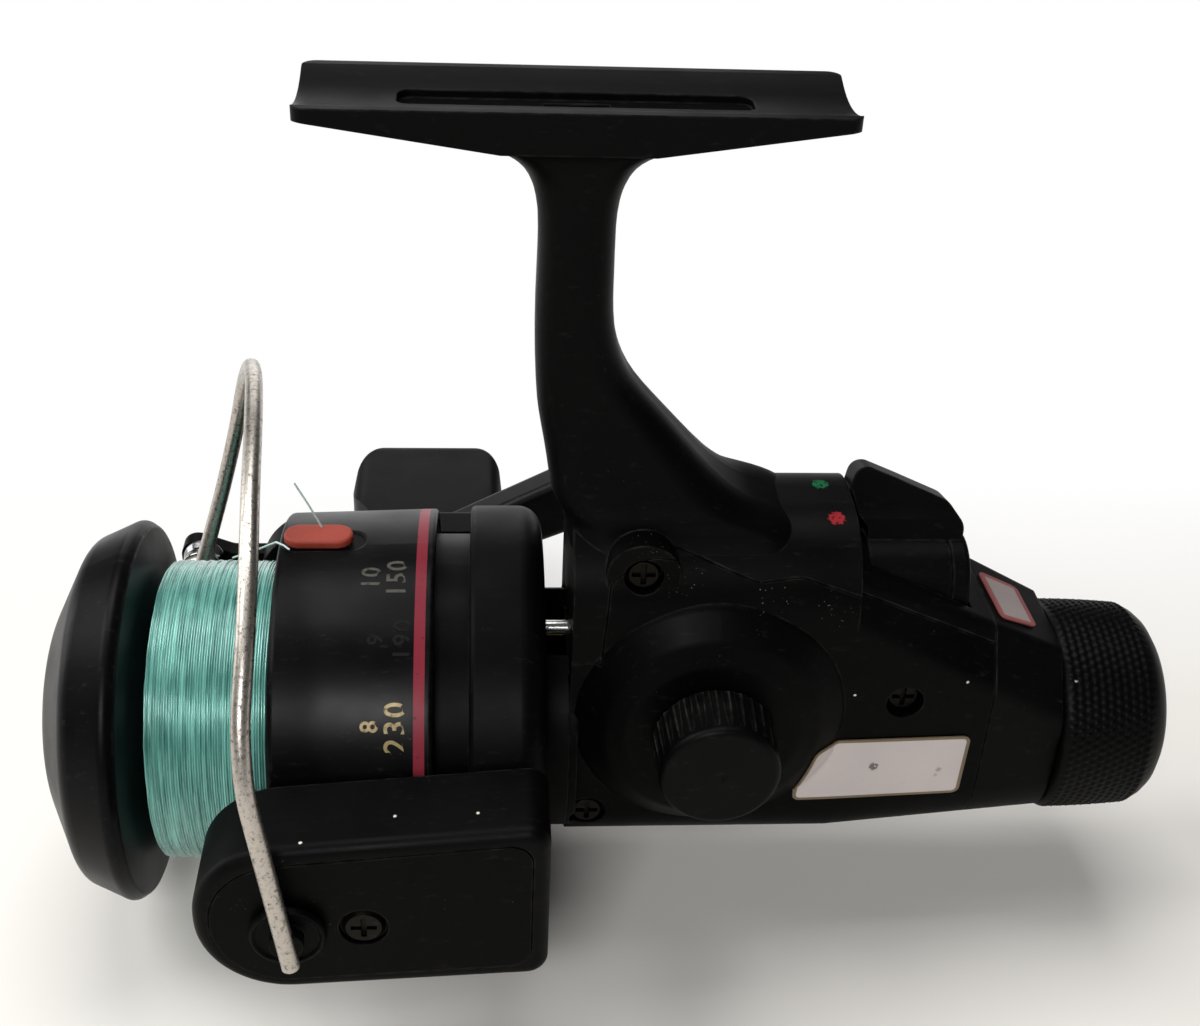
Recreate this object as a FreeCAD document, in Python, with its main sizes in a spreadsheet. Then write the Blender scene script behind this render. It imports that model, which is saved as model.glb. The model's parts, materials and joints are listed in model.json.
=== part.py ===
import FreeCAD, Part
import math
import os
import Sketcher
from FreeCAD import Placement, Rotation, Vector

# A spinning reel with a rear drag, as an assembly of separate pieces, in millimetres.
# The origin is the centre of the foot's top face. +Z points up to the rod, the spool lies
# towards -X, the drag knob towards +X, and the handle is on the +Y side.
# The spool, rotor, main shaft and drag all share one axis, parallel to X, below the foot.

SIZES = {
    # Foot and stem
    "foot_length": 58.0,
    "foot_width": 15.3,
    "foot_tip_depth": 1.0,
    "foot_root_depth": 4.3,
    "foot_root_half": 8.0,
    "foot_crown": 1.1,
    "foot_corner": 1.6,
    "slot_length": 37.4,
    "slot_width": 4.6,
    "seat_radius": 17.0,
    "seat_depth": 1.3,
    "slot_depth": 2.1,
    "slot_deep_length": 7.0,
    "slot_deep_depth": 2.8,
    "axis_drop": 83.0,
    "stem_front": 3.9,
    "stem_rear": 4.7,
    "stem_width": 9.2,
    # Gear case
    "case_front": 0.9,
    "case_half_width": 12.5,
    "case_rise": 33.1,
    "case_floor": 14.0,
    "case_corner": 7.0,
    "case_top_radius": 10.5,
    "case_wall": 2.0,
    "case_shoulder": 35.2,
    "seam_gap": 0.12,
    "case_seam_x": 53.8,
    "cover_seam_y": 5.0,
    "bulge_radius": 16.0,
    "bulge_face_radius": 10.6,
    "bulge_face_y": 16.0,
    "boss_radius": 15.5,
    "boss_front": 9.0,
    "tail_end": 63.6,
    "tail_radius": 12.4,
    "tail_front_rise": 28.2,
    "tail_top_rise": 14.0,
    "tail_top_half": 6.6,
    # Drive train
    "gear_x": 18.25,
    "gear_rise": 8.45,
    "gear_mesh_radius": 12.0,
    "gear_tip_radius": 13.2,
    "gear_rib_inner": 10.7,
    "gear_rib_width": 0.42,
    "gear_plate": 2.2,
    "tooth_depth": 0.8,
    "tooth_gap": 0.25,
    "pinion_root": 3.3,
    "pinion_length": 6.6,
    "pinion_tail_radius": 2.5,
    "pinion_tail_end": 17.0,
    "bearing_radius": 7.4,
    "bearing_width": 3.6,
    "drive_shaft_radius": 3.2,
    "drive_bush_radius": 5.0,
    "bolt_radius": 1.95,
    "shaft_radius": 1.5,
    "stud_radius": 1.6,
    "guide_radius": 1.2,
    "guide_drop": 9.0,
    "fit_gap": 0.02,
    "running_gap": 0.05,
    "clear_gap": 0.3,
    "crosswind_module": 0.875,
    "crosswind_throw": 6.0,
    "crosswind_pin_radius": 1.5,
    "spool_forward": 9.4,
    "spool_back": 2.6,
    # Rotor
    "rotor_rear": 2.2,
    "rotor_ring_front": 11.3,
    "rotor_radius": 26.3,
    "rotor_drum_radius": 22.6,
    "rotor_drum_front": 29.8,
    "rotor_wall": 2.0,
    "rotor_web_front": 16.0,
    "arm_inner": 27.6,
    "arm_outer": 38.0,
    "far_arm_outer": 33.6,
    "far_arm_half_height": 9.0,
    "arm_half_height": 10.7,
    "arm_rear_half_height": 14.2,
    "arm_rear_rise": 2.2,
    "arm_nose": 10.6,
    "arm_edge": 1.4,
    "arm_rim": 1.9,
    "arm_cover_thickness": 1.3,
    "arm_screw_back": 22.9,
    "pivot_forward": 31.2,
    "pivot_radius": 2.0,
    # Spool
    "lip_radius": 24.5,
    "lip_x": 53.4,
    "lip_front_x": 58.8,
    "lip_front_radius": 22.0,
    "nose_x": 64.3,
    "arbor_radius": 13.0,
    "line_radius": 19.3,
    "line_front_x": 50.0,
    "skirt_front_x": 34.7,
    "skirt_radius": 25.9,
    "skirt_front_radius": 25.3,
    "skirt_rear_x": 15.5,
    "skirt_wall": 1.3,
    "clip_x": 29.8,
    "clip_length": 8.4,
    "clip_width": 4.0,
    "clip_rise": 0.447,
    "clip_pin_length": 1.9,
    "button_radius": 5.2,
    # Bail
    "wire_radius": 1.05,
    "cup_radius": 4.6,
    "roller_radius": 3.2,
    "roller_pin_radius": 1.25,
    "roller_width": 3.6,
    "roller_ahead": 19.3,
    "lever_end_half": 3.4,
    "roller_rise": 0.5,
    # Handle
    "cap_radius": 7.56,
    "cap_length": 7.7,
    "flute_radius": 0.42,
    "crank_length": 41.4,
    "crank_angle": 26.0,
    "crank_inner": 46.0,
    "crank_hub_radius": 4.8,
    "crank_tip_radius": 3.6,
    "crank_thickness": 6.0,
    "crank_edge": 1.3,
    "knob_length": 25.0,
    "knob_width": 25.0,
    "knob_thickness": 6.4,
    "spindle_radius": 1.8,
    # Anti-reverse
    "lever_axis_rise": 21.0,
    "lever_barrel_radius": 6.0,
    "lever_front": 37.6,
    "lever_rear": 50.6,
    "lever_width": 5.0,
    "lever_lean": 16.5,
    "lever_rod_radius": 1.5,
    "finger_drop": 8.2,
    "pawl_pin_radius": 1.0,
    "pawl_pin_side": 5.6,
    "pawl_pin_rise": 9.3,
    "ratchet_radius": 7.0,
    "ratchet_teeth": 12.0,
    # Rear drag
    "knob_radius": 13.9,
    "drag_knob_rear": 79.4,
    "drag_cavity_radius": 8.4,
    "drag_washer": 0.8,
    "drag_sleeve_radius": 2.6,
    "drag_hub_radius": 5.0,
    # Fasteners
    "screw_head_radius": 2.1,
    "screw_head_height": 1.3,
    "cover_screw_x": 9.06,
    "housing_screw_x": 41.2,
    "cover_screw_z": -54.2,
    "screw_lug_radius": 4.4,
    "screw_shank_radius": 1.0,
    "screw_length": 6.5,
    "small_screw_radius": 0.9,
}

CAP_FLUTES = 30
DRIVE_TEETH = 46
PINION_TEETH = 10
CROSSWIND_DRIVER_TEETH = 12
CROSSWIND_TEETH = 24
DRAG_PAIRS = 3

document = FreeCAD.newDocument("SpinningReel")
sheet = document.addObject("Spreadsheet::Sheet", "Sizes")
for row, (alias, number) in enumerate(SIZES.items(), start=1):
    sheet.set(f"A{row}", alias)
    sheet.set(f"B{row}", str(number))
    sheet.setAlias(f"B{row}", alias)
document.recompute()

nodes = {}


class Size:
    """A number that remembers the spreadsheet expression it comes from."""

    def __init__(self, value, text):
        self.value = float(value)
        self.text = text

    def __float__(self):
        return self.value

    def __add__(self, other):
        return Size(self.value + float(other), f"({self.text} + {text_of(other)})")

    def __radd__(self, other):
        return Size(float(other) + self.value, f"({text_of(other)} + {self.text})")

    def __sub__(self, other):
        return Size(self.value - float(other), f"({self.text} - {text_of(other)})")

    def __rsub__(self, other):
        return Size(float(other) - self.value, f"({text_of(other)} - {self.text})")

    def __mul__(self, other):
        return Size(self.value * float(other), f"({self.text} * {text_of(other)})")

    __rmul__ = __mul__

    def __truediv__(self, other):
        return Size(self.value / float(other), f"({self.text} / {text_of(other)})")

    def __neg__(self):
        return Size(-self.value, f"(0 - {self.text})")


def text_of(number):
    """The expression text of a size or of a plain number."""
    return number.text if isinstance(number, Size) else f"({float(number):.9g})"


class Sheet:
    """Reads every aliased cell as a Size, by attribute."""

    def __getattr__(self, alias):
        return Size(sheet.get(alias), f"Sizes.{alias}")


size = Sheet()


def bind(target, prop, number):
    """Tie one property of an object to a size."""
    target.setExpression(prop, text_of(number))


def place(target, at, turn=None):
    """Put an object at a point made of sizes, with an optional turn (axis, angle)."""
    x, y, z = at
    rotation = Rotation(Vector(*turn[0]), float(turn[1])) if turn else Rotation()
    target.Placement = Placement(Vector(float(x), float(y), float(z)), rotation)
    for letter, number in zip("xyz", at):
        bind(target, f".Placement.Base.{letter}", number)
    return target


def named(target, label):
    """Keep an object as a piece of the assembly, under its own name."""
    target.Label = label
    nodes[label] = target
    return target


# ---------------------------------------------------------------- sketches

def corner_arc(before, point, after, radius):
    """Tangent points and arc that round one corner of an outline."""
    back = (before - point).normalize()
    ahead = (after - point).normalize()
    half = back.getAngle(ahead) / 2
    run = radius / math.tan(half)
    middle = point + (back + ahead).normalize() * (radius / math.sin(half))
    start, end = point + back * run, point + ahead * run
    left_turn = (point - before).cross(after - point).z > 0
    first, last = (start, end) if left_turn else (end, start)
    low = math.atan2(first.y - middle.y, first.x - middle.x)
    high = math.atan2(last.y - middle.y, last.x - middle.x)
    if high < low:
        high += 2 * math.pi
    circle = Part.Circle(middle, Vector(0, 0, 1), radius)
    return start, end, Part.ArcOfCircle(circle, low, high), left_turn


def trace(sketch, corners):
    """Draw a closed outline. Each corner is (x, y), or (x, y, radius) where it is rounded."""
    points = [Vector(float(corner[0]), float(corner[1]), 0) for corner in corners]
    count = len(points)
    arcs = {}
    starts, ends = list(points), list(points)
    for i, corner in enumerate(corners):
        if len(corner) == 3:
            found = corner_arc(points[i - 1], points[i], points[(i + 1) % count], float(corner[2]))
            ends[i], starts[i] = found[0], found[1]
            arcs[i] = found[2:]
    first = sketch.GeometryCount
    for i in range(count):
        sketch.addGeometry(Part.LineSegment(starts[i], ends[(i + 1) % count]), False)
    for i, corner in enumerate(corners):
        line_in, line_out = first + (i - 1) % count, first + i
        held, end = line_out, 1
        if i in arcs:
            arc, left_turn = arcs[i]
            curve = sketch.addGeometry(arc, False)
            near, far = (1, 2) if left_turn else (2, 1)
            sketch.addConstraint(Sketcher.Constraint("Tangent", line_in, 2, curve, near))
            sketch.addConstraint(Sketcher.Constraint("Tangent", line_out, 1, curve, far))
            radius = sketch.addConstraint(Sketcher.Constraint("Radius", curve, float(corner[2])))
            sketch.setExpression(f"Constraints[{radius}]", text_of(corner[2]))
            held = sketch.addGeometry(Part.Point(points[i]), True)
            sketch.addConstraint(Sketcher.Constraint("PointOnObject", held, 1, line_in))
            sketch.addConstraint(Sketcher.Constraint("PointOnObject", held, 1, line_out))
        else:
            sketch.addConstraint(Sketcher.Constraint("Coincident", line_in, 2, line_out, 1))
        pin(sketch, held, end, corner)


def pin(sketch, geometry, end, at):
    """Fix one point of a sketch by its distances from the sketch's origin."""
    for kind, number in zip(("DistanceX", "DistanceY"), at):
        rule = Sketcher.Constraint(kind, -1, 1, geometry, end, float(number))
        index = sketch.addConstraint(rule)
        sketch.setExpression(f"Constraints[{index}]", text_of(number))


def circle(sketch, x, y, radius):
    """Add one circle to a sketch."""
    curve = sketch.addGeometry(Part.Circle(Vector(float(x), float(y), 0), Vector(0, 0, 1), float(radius)))
    pin(sketch, curve, 3, (x, y))
    index = sketch.addConstraint(Sketcher.Constraint("Radius", curve, float(radius)))
    sketch.setExpression(f"Constraints[{index}]", text_of(radius))


def origin_part(body, role):
    """One plane or axis of a body's own origin."""
    return next(item for item in body.Origin.OriginFeatures if item.Role == role)


def new_body(name, at=(0, 0, 0), turn=None):
    """A PartDesign body placed by sizes."""
    body = document.addObject("PartDesign::Body", name)
    return place(body, at, turn)


def sketch_in(body, role, offset=0):
    """A sketch on one of the body's own origin planes, shifted along its normal."""
    sketch = body.newObject("Sketcher::SketchObject", f"{body.Name}_outline")
    sketch.AttachmentSupport = [(origin_part(body, role), "")]
    sketch.MapMode = "FlatFace"
    bind(sketch, ".AttachmentOffset.Base.z", offset)
    return sketch


TURNING_PLANES = {"X": "XZ_Plane", "Y": "YZ_Plane"}


def turned(name, axis, corners, at=(0, 0, 0)):
    """A body turned about X or Y. Its outline is given as (distance along the axis, radius)."""
    body = new_body(name, at)
    sketch = sketch_in(body, TURNING_PLANES[axis])
    trace(sketch, corners)
    turn = body.newObject("PartDesign::Revolution", f"{name}_turn")
    turn.Profile = sketch
    turn.ReferenceAxis = (origin_part(body, f"{axis}_Axis"), [""])
    turn.Angle = 360
    return body


SLAB_PLANES = {"X": ("YZ_Plane", 1), "Y": ("XZ_Plane", -1), "Z": ("XY_Plane", 1)}


def add_slab(body, axis, corners, low, high, kind="Pad", circles=()):
    """Pad or pocket an outline of a body between two heights along X, Y or Z."""
    role, sign = SLAB_PLANES[axis]
    sketch = sketch_in(body, role, low if sign > 0 else -high)
    if corners:
        trace(sketch, corners)
    for x, y, radius in circles:
        circle(sketch, x, y, radius)
    feature = body.newObject(f"PartDesign::{kind}", f"{body.Name}_{kind}")
    feature.Profile = sketch
    feature.Reversed = kind == "Pocket"
    bind(feature, "Length", high - low)
    return feature


def round_edges(body, radius, chosen):
    """Fillet the edges of a body's tip that a test picks."""
    document.recompute()
    tip = body.Tip
    names = [f"Edge{i}" for i, edge in enumerate(tip.Shape.Edges, start=1) if chosen(edge)]
    fillet = body.newObject("PartDesign::Fillet", f"{body.Name}_Fillet")
    fillet.Base = (tip, names)
    bind(fillet, "Radius", radius)
    return fillet


def slab(name, axis, corners, low, high, at=(0, 0, 0), circles=(), turn=None):
    """A body that is one outline padded between two heights."""
    body = new_body(name, at, turn)
    add_slab(body, axis, corners, low, high, circles=circles)
    return body


# ---------------------------------------------------------------- primitives and booleans

AXES = {"X": ((0, 1, 0), 90), "Y": ((1, 0, 0), -90), "Z": ((0, 0, 1), 0)}


def rod(name, axis, radius, low, high, at=(0, 0, 0)):
    """A cylinder along X, Y or Z between two heights, from an axis through a point."""
    solid = document.addObject("Part::Cylinder", name)
    bind(solid, "Radius", radius)
    bind(solid, "Height", high - low)
    along = "XYZ".index(axis)
    base = [at[i] + (low if i == along else 0) for i in range(3)]
    return place(solid, base, AXES[axis])


def cone(name, axis, low_radius, high_radius, low, high, at=(0, 0, 0)):
    """A cone frustum along X, Y or Z."""
    solid = document.addObject("Part::Cone", name)
    bind(solid, "Radius1", low_radius)
    bind(solid, "Radius2", high_radius)
    bind(solid, "Height", high - low)
    along = "XYZ".index(axis)
    base = [at[i] + (low if i == along else 0) for i in range(3)]
    return place(solid, base, AXES[axis])


def block(name, low, high):
    """A box between two corners."""
    solid = document.addObject("Part::Box", name)
    for prop, start, end in zip(("Length", "Width", "Height"), low, high):
        bind(solid, prop, end - start)
    return place(solid, low)


def joined(name, pieces):
    """Several solids fused into one."""
    solid = document.addObject("Part::MultiFuse", name)
    solid.Shapes = pieces
    return solid


def cut(name, base, tools):
    """One solid with others taken out of it."""
    solid = document.addObject("Part::Cut", name)
    solid.Base = base
    solid.Tool = tools[0] if len(tools) == 1 else joined(f"{name}_tools", tools)
    return solid


def shared(name, first, second):
    """What two solids have in common."""
    solid = document.addObject("Part::Common", name)
    solid.Base = first
    solid.Tool = second
    return solid


def group(name, pieces):
    """Identical pieces kept side by side in one node."""
    solid = document.addObject("Part::Compound", name)
    solid.Links = pieces
    return solid


def ring(name, axis, outer, inner, low, high, at=(0, 0, 0)):
    """A plain ring or bush."""
    hole = rod(f"{name}_hole", axis, inner, low - 1, high + 1, at)
    return cut(name, rod(f"{name}_disc", axis, outer, low, high, at), [hole])


def formed(name, shape):
    """A solid that Part's own functions make, kept as a feature."""
    feature = document.addObject("Part::Feature", name)
    feature.Shape = shape
    return feature


def section(name, axis, along, corners, at_z=0):
    """An outline across X or Z, as a sketch for a loft."""
    sketch = document.addObject("Sketcher::SketchObject", name)
    across = Rotation(Vector(1, 1, 1), 120) if axis == "X" else Rotation()
    sketch.Placement = Placement(Vector(), across)
    bind(sketch, f".Placement.Base.{axis.lower()}", along)
    if axis == "X":
        bind(sketch, ".Placement.Base.z", at_z)
    trace(sketch, corners)
    return sketch


def loft(name, sections, straight=True):
    """A solid through several sections."""
    solid = document.addObject("Part::Loft", name)
    solid.Sections = sections
    solid.Solid = True
    solid.Ruled = straight
    return solid


def inset(corners, distance):
    """An outline's corners moved inwards by a distance, for a narrow seam beside it."""
    points = [Vector(float(corner[0]), float(corner[1]), 0) for corner in corners]
    count = len(points)
    area = sum(points[i - 1].cross(points[i]).z for i in range(count))
    side = 1 if area > 0 else -1
    moved = []
    for i, corner in enumerate(corners):
        before = (points[i] - points[i - 1]).normalize()
        after = (points[(i + 1) % count] - points[i]).normalize()
        inward = Vector(-before.y - after.y, before.x + after.x, 0) * side
        step = distance / (1 + before.dot(after))
        moved.append((points[i].x + inward.x * step, points[i].y + inward.y * step, *corner[2:]))
    return moved


def around(count, radius):
    """Places evenly spaced round a circle, as (across, up) pairs."""
    turns = [2 * math.pi * i / count for i in range(count)]
    return [(radius * math.cos(turn), radius * math.sin(turn)) for turn in turns]


def cross_slot(name, axis, low, high, at, length):
    """The cross in a screw's head."""
    half, width = length / 2, 0.32
    bars = [slab(f"{name}_bar_{i}", axis, rectangle(wide, tall), low, high, at)
            for i, (wide, tall) in enumerate(((half, width), (width, half)))]
    return joined(name, bars)


def rectangle(half_length, half_width, *radius):
    """The corners of a rectangle about the origin, all rounded alike where a radius is given."""
    return [(-half_length, -half_width, *radius), (half_length, -half_width, *radius),
            (half_length, half_width, *radius), (-half_length, half_width, *radius)]


def mirrored_y(corners):
    """The outline's right half, given from the top down, and its mirror image in Y."""
    return corners + [(-corner[0], *corner[1:]) for corner in reversed(corners)]


# ---------------------------------------------------------------- places that pieces share

axis_z = -size.axis_drop
on_axis = (0, 0, axis_z)
gear_z = axis_z + size.gear_rise
on_gear = (size.gear_x, 0, gear_z)
pivot_x = -size.pivot_forward
on_pivot = (pivot_x, 0, axis_z)
on_arm_screw = (-size.arm_screw_back, 0, axis_z)
on_lever = (0, 0, axis_z + size.lever_axis_rise)
on_pawl_pin = (0, -size.pawl_pin_side, axis_z + size.pawl_pin_rise)
on_guide = (0, 0, axis_z - size.guide_drop)
bore_radius = size.shaft_radius + size.running_gap
# The spur pair of the crosswind has its centres one above the other by the gear's own rise.
spur_distance = size.crosswind_module * (CROSSWIND_DRIVER_TEETH + CROSSWIND_TEETH) / 2
crosswind_ahead = math.sqrt(float(spur_distance) ** 2 - float(size.gear_rise) ** 2)
crosswind_x = size.gear_x + crosswind_ahead
stroke_middle = (size.spool_forward - size.spool_back) / 2
slider_x = crosswind_x + stroke_middle


# ---------------------------------------------------------------- foot, stem and gear case

def build_foot():
    """The foot that a rod's seat clamps: flat on top, crowned below, thin at both tips."""
    half_length = size.foot_length / 2
    half = size.foot_width / 2
    spare = 1

    def across(name, x, depth):
        return section(name, "X", x, mirrored_y([
            (half + spare, 0), (half + spare, -depth), (half / 2, -depth - size.foot_crown)]))

    bar = loft("foot_loft", [
        across("foot_front_tip", -half_length - spare, size.foot_tip_depth),
        across("foot_front_root", -size.foot_root_half, size.foot_root_depth),
        across("foot_rear_root", size.foot_root_half, size.foot_root_depth),
        across("foot_rear_tip", half_length + spare, size.foot_tip_depth),
    ])
    plan = slab("foot_plan", "Z", rectangle(half_length, half, size.foot_corner), -20, spare)
    return shared("foot_blank", bar, plan)


def stem_levels():
    """The stem at each height: z, front x, rear x, half width and corner radius."""
    front, rear, half = float(size.stem_front), float(size.stem_rear), float(size.stem_width) / 2
    case_front, wide = float(size.case_front), float(size.case_half_width)
    under = -float(size.foot_root_depth)
    top = float(axis_z + size.case_rise)
    return [
        (under - 0.2, -front - 6.2, rear + 6.2, half + 1.8, 3.6),
        (under - 1.3, -front - 4.4, rear + 4.4, half + 1.1, 3.6),
        (under - 3.0, -front - 2.1, rear + 2.1, half + 0.5, 3.6),
        (under - 5.4, -front - 0.7, rear + 0.7, half + 0.1, 3.6),
        (under - 9, -front, rear, half, 3.6),
        (-22, -front, rear, half, 3.6),
        (-29, -front, rear + 0.8, half, 3.6),
        (-34, -front + 0.2, rear + 3.2, half + 0.1, 3.7),
        (-39, -front + 0.8, rear + 7.4, half + 0.5, 4.0),
        (-43.5, -front + 1.6, rear + 11.3, half + 1.4, 4.4),
        (top + 2.9, -front + 2.2, rear + 15.0, half + 2.4, 4.8),
        (top + 1.2, -front + 3.0, rear + 17.8, half + 3.1, 5.0),
        (top - 0.4, case_front - 1.1, rear + 22.5, wide - 4.4, 5.2),
        (top - 3.5, case_front - 0.4, rear + 24.5, wide - 3.0, 5.4),
        (top - 8, case_front + 0.7, rear + 25, wide - 2.6, 5.4),
    ]


def build_stem():
    """The stem: a rounded column that flares into the foot above and into the case below."""
    levels = []
    for i, (z, front, rear, half, corner) in enumerate(stem_levels()):
        outline = [(front, -half, corner), (rear, -half, corner), (rear, half, corner), (front, half, corner)]
        levels.append(section(f"stem_level_{i}", "Z", z, outline))
    return loft("stem_loft", levels, straight=False)


def build_case_blank(tail):
    """The outside of the gear case, stem and tail, before it is split and hollowed."""
    bottom = axis_z - size.case_floor
    wide, top = size.case_half_width, axis_z + size.case_rise
    box = slab("case_box", "X", mirrored_y([
        (wide, top, size.case_top_radius), (wide, bottom, size.case_corner),
    ]), size.case_front, size.case_shoulder)
    face, radius = size.bulge_face_y, size.bulge_radius
    bulges = []
    for name, side in (("bulge_near", -1), ("bulge_far", 1)):
        root = side * (wide - 3)
        bulges.append(turned(name, "Y", [
            (root, 0), (root, radius + 2), (side * (wide + 0.2), radius + 0.8, 2),
            (side * (face - 0.9), radius - 2.6, 3), (side * face, size.bulge_face_radius, 2.5),
            (side * face, 0),
        ], on_gear))
    boss = rod("front_boss", "X", size.boss_radius, -size.boss_front, size.case_front + 1, on_axis)
    lug = rod("screw_lug", "Y", size.screw_lug_radius, -size.case_half_width + 1.1, -6,
              (size.cover_screw_x, 0, size.cover_screw_z))
    return joined("case_blank", [box, build_stem(), *bulges, boss, lug, tail])


def build_tail():
    """The tail tapers from the gear case to the ring that carries the drag knob."""
    radius = size.tail_radius
    return loft("tail_loft", [
        section("tail_front_section", "X", size.case_shoulder, mirrored_y([
            (size.case_half_width - 2.5, size.tail_front_rise, 2), (size.case_half_width, 22, 4),
            (size.case_half_width, -size.case_floor, size.case_corner)]), axis_z),
        section("tail_rear_section", "X", size.tail_end, mirrored_y([
            (size.tail_top_half, size.tail_top_rise, 1.5), (radius - 0.4, 6.5, 4),
            (radius - 0.4, -radius, 9)]), axis_z),
    ])


def build_case():
    """The main frame with its stem and foot, the side cover and the drag housing."""
    tail = build_tail()
    blank = build_case_blank(tail)
    wall = size.case_wall
    inner = size.case_half_width - wall - 0.2
    floor = axis_z - size.case_floor + wall + 0.5
    seam = size.case_seam_x
    room = slab("case_room", "Y", [
        (size.case_front + wall, floor), (size.case_front + wall, -60), (33, -59),
        (37.5, -71), (seam - wall, -76), (seam - wall, -92.5), (44, floor),
    ], -inner, inner)
    deep = size.bulge_face_y - wall - 0.2
    pocket = joined("gear_pockets", [
        rod("gear_pocket", "Y", size.gear_tip_radius + 0.8, -inner, inner + 1, on_gear),
        rod("hub_pocket", "Y", size.drive_bush_radius + 4, -deep, deep, on_gear),
    ])
    boss_room = rod("boss_room", "X", size.boss_radius - 2.5, -size.boss_front - 1,
                    size.case_front + 0.1, on_axis)
    pinion_way = rod("pinion_way", "X", 5.2, 0, 6, on_axis)
    bush_seat = rod("bush_seats", "Y", size.drive_bush_radius, -20, 20, on_gear)
    shaft_way = rod("shaft_way", "X", 3.2, seam - 6, seam + 20, on_axis)
    finger_way = block("finger_way", (-5.2, -7, -72.3), (5, 7, -67.2))
    lever_room = size.lever_barrel_radius + size.clear_gap
    lever_start, lever_stop = size.lever_front - size.clear_gap, size.lever_rear + size.clear_gap
    lever_way = rod("lever_way", "X", lever_room, lever_start, lever_stop, on_lever)
    lever_mouth = block("lever_mouth", (lever_start, -lever_room, on_lever[2]), (lever_stop, lever_room, -45))
    rod_way = rod("rod_way", "X", size.lever_rod_radius + size.clear_gap, 28, size.lever_rear, on_lever)
    front_part = block("front_of_tail", (-60, -40, -140), (seam, 40, 5))
    hollow = joined("hollow", [room, pocket, boss_room, pinion_way, bush_seat, shaft_way,
                               finger_way, lever_way, lever_mouth, rod_way])
    shell = cut("case_shell", shared("case_front_blank", blank, front_part), [hollow])

    shoulder = size.case_shoulder
    cover_edge = [
        (-20, -130), (-20, -66), (4.4, -66), (5.2, -55, 3), (9.5, -51.2, 4), (13, -51.8, 6), (22.8, -55.2, 4),
        (28, -54.6, 4), (shoulder, -56.8, 3), (seam - 0.1, -66.0), (seam + 10, -68), (seam + 10, -130)]
    keep_radius, keep_end = size.boss_radius + size.fit_gap, size.case_front + size.fit_gap
    boss_keep = rod("boss_keep", "X", keep_radius, -30, keep_end, on_axis)
    region = cut("cover_cutter", slab("cover_region", "Y", cover_edge, -30, -size.cover_seam_y), [boss_keep])
    frame_shell = cut("frame_shell", shell, [region])
    cover_outline = inset(cover_edge, float(size.seam_gap))
    cover_blank = slab("cover_inset", "Y", cover_outline, -30, -size.cover_seam_y)
    cover_region = cut("cover_keep", cover_blank, [boss_keep])
    cover_shell = shared("cover_shell", shell, cover_region)

    support_top = axis_z + 4.6
    rear_support = cut("pinion_support", block(
        "pinion_support_block", (13.6, -4.8, floor - 1), (17.2, 2.9, support_top)),
        [rod("support_bore", "X", 3.6, 10, 20, on_axis),
         rod("guide_seat", "X", size.guide_radius + size.fit_gap, 15, 20, on_guide)])
    foot = build_foot()
    slot_outline = rectangle(size.slot_length / 2, size.slot_width / 2, 1.4)
    slot = slab("foot_slot", "Z", slot_outline, -size.slot_depth, 1)
    deep = slab("foot_slot_middle", "Z", rectangle(size.slot_deep_length / 2, 1.4), -size.slot_deep_depth, 1)
    guide_hole = rod("guide_rear_seat", "X", size.guide_radius + size.fit_gap, 40, seam - 0.5, on_guide)
    frame = joined("frame_joined", [frame_shell, rear_support, foot])
    seat = rod("foot_seat", "X", size.seat_radius, -50, 50, (0, 0, size.seat_radius - size.seat_depth))
    named(cut("frame_body", frame, [slot, deep, seat, guide_hole] + screw_holes()), "main_frame")
    named(cut("cover_body", cover_shell, screw_holes()), "side_cover")
    rear_part = block("rear_of_tail", (seam + size.seam_gap, -40, -140), (seam + 40, 40, 5))
    end = size.tail_end
    neck = rod("drag_neck", "X", size.drag_cavity_radius + 1.7, end - 1, end + 3.4, on_axis)
    cavity = rod("drag_cavity", "X", size.drag_cavity_radius, seam + 1.2, seam + 40, on_axis)
    way = rod("drag_way", "X", 3.4, seam - 1, seam + 4, on_axis)
    housing = joined("drag_housing_blank", [shared("tail_rear_blank", tail, rear_part), neck])
    named(cut("drag_housing_body", housing, [cavity, way]), "drag_housing")


def screw_places():
    """Each cover screw: its name, x and z, the y of the face it sinks into, and how deep."""
    face = -size.case_half_width
    return [
        ("upper_screw", size.cover_screw_x, size.cover_screw_z, face + 1.1, 0.5),
        ("rear_screw", 42.6, -72.7, face + 0.3, 1.1),
        ("lower_screw", 3.6, -90.4, face + 0.1, 0.3),
    ]


def housing_screw_place():
    """Where the small screw enters the case from below."""
    return (size.housing_screw_x, -5.5, axis_z - size.case_floor)


def screw_holes():
    """Counterbores and holes for the cover screws, shared by the cover and the frame."""
    holes = []
    for name, x, z, face, sink in screw_places():
        seat = face + sink + size.screw_head_height
        end = seat + size.screw_length
        head = rod(f"{name}_head_hole", "Y", size.screw_head_radius + 0.25, -30, seat, (x, 0, z))
        shank = rod(f"{name}_shank_hole", "Y", size.screw_shank_radius + size.fit_gap, -30, end, (x, 0, z))
        holes.append(joined(f"{name}_hole", [head, shank]))
    radius = size.small_screw_radius + size.fit_gap
    holes.append(rod("housing_screw_hole", "Z", radius, -3, 2.15, housing_screw_place()))
    return holes


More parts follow.
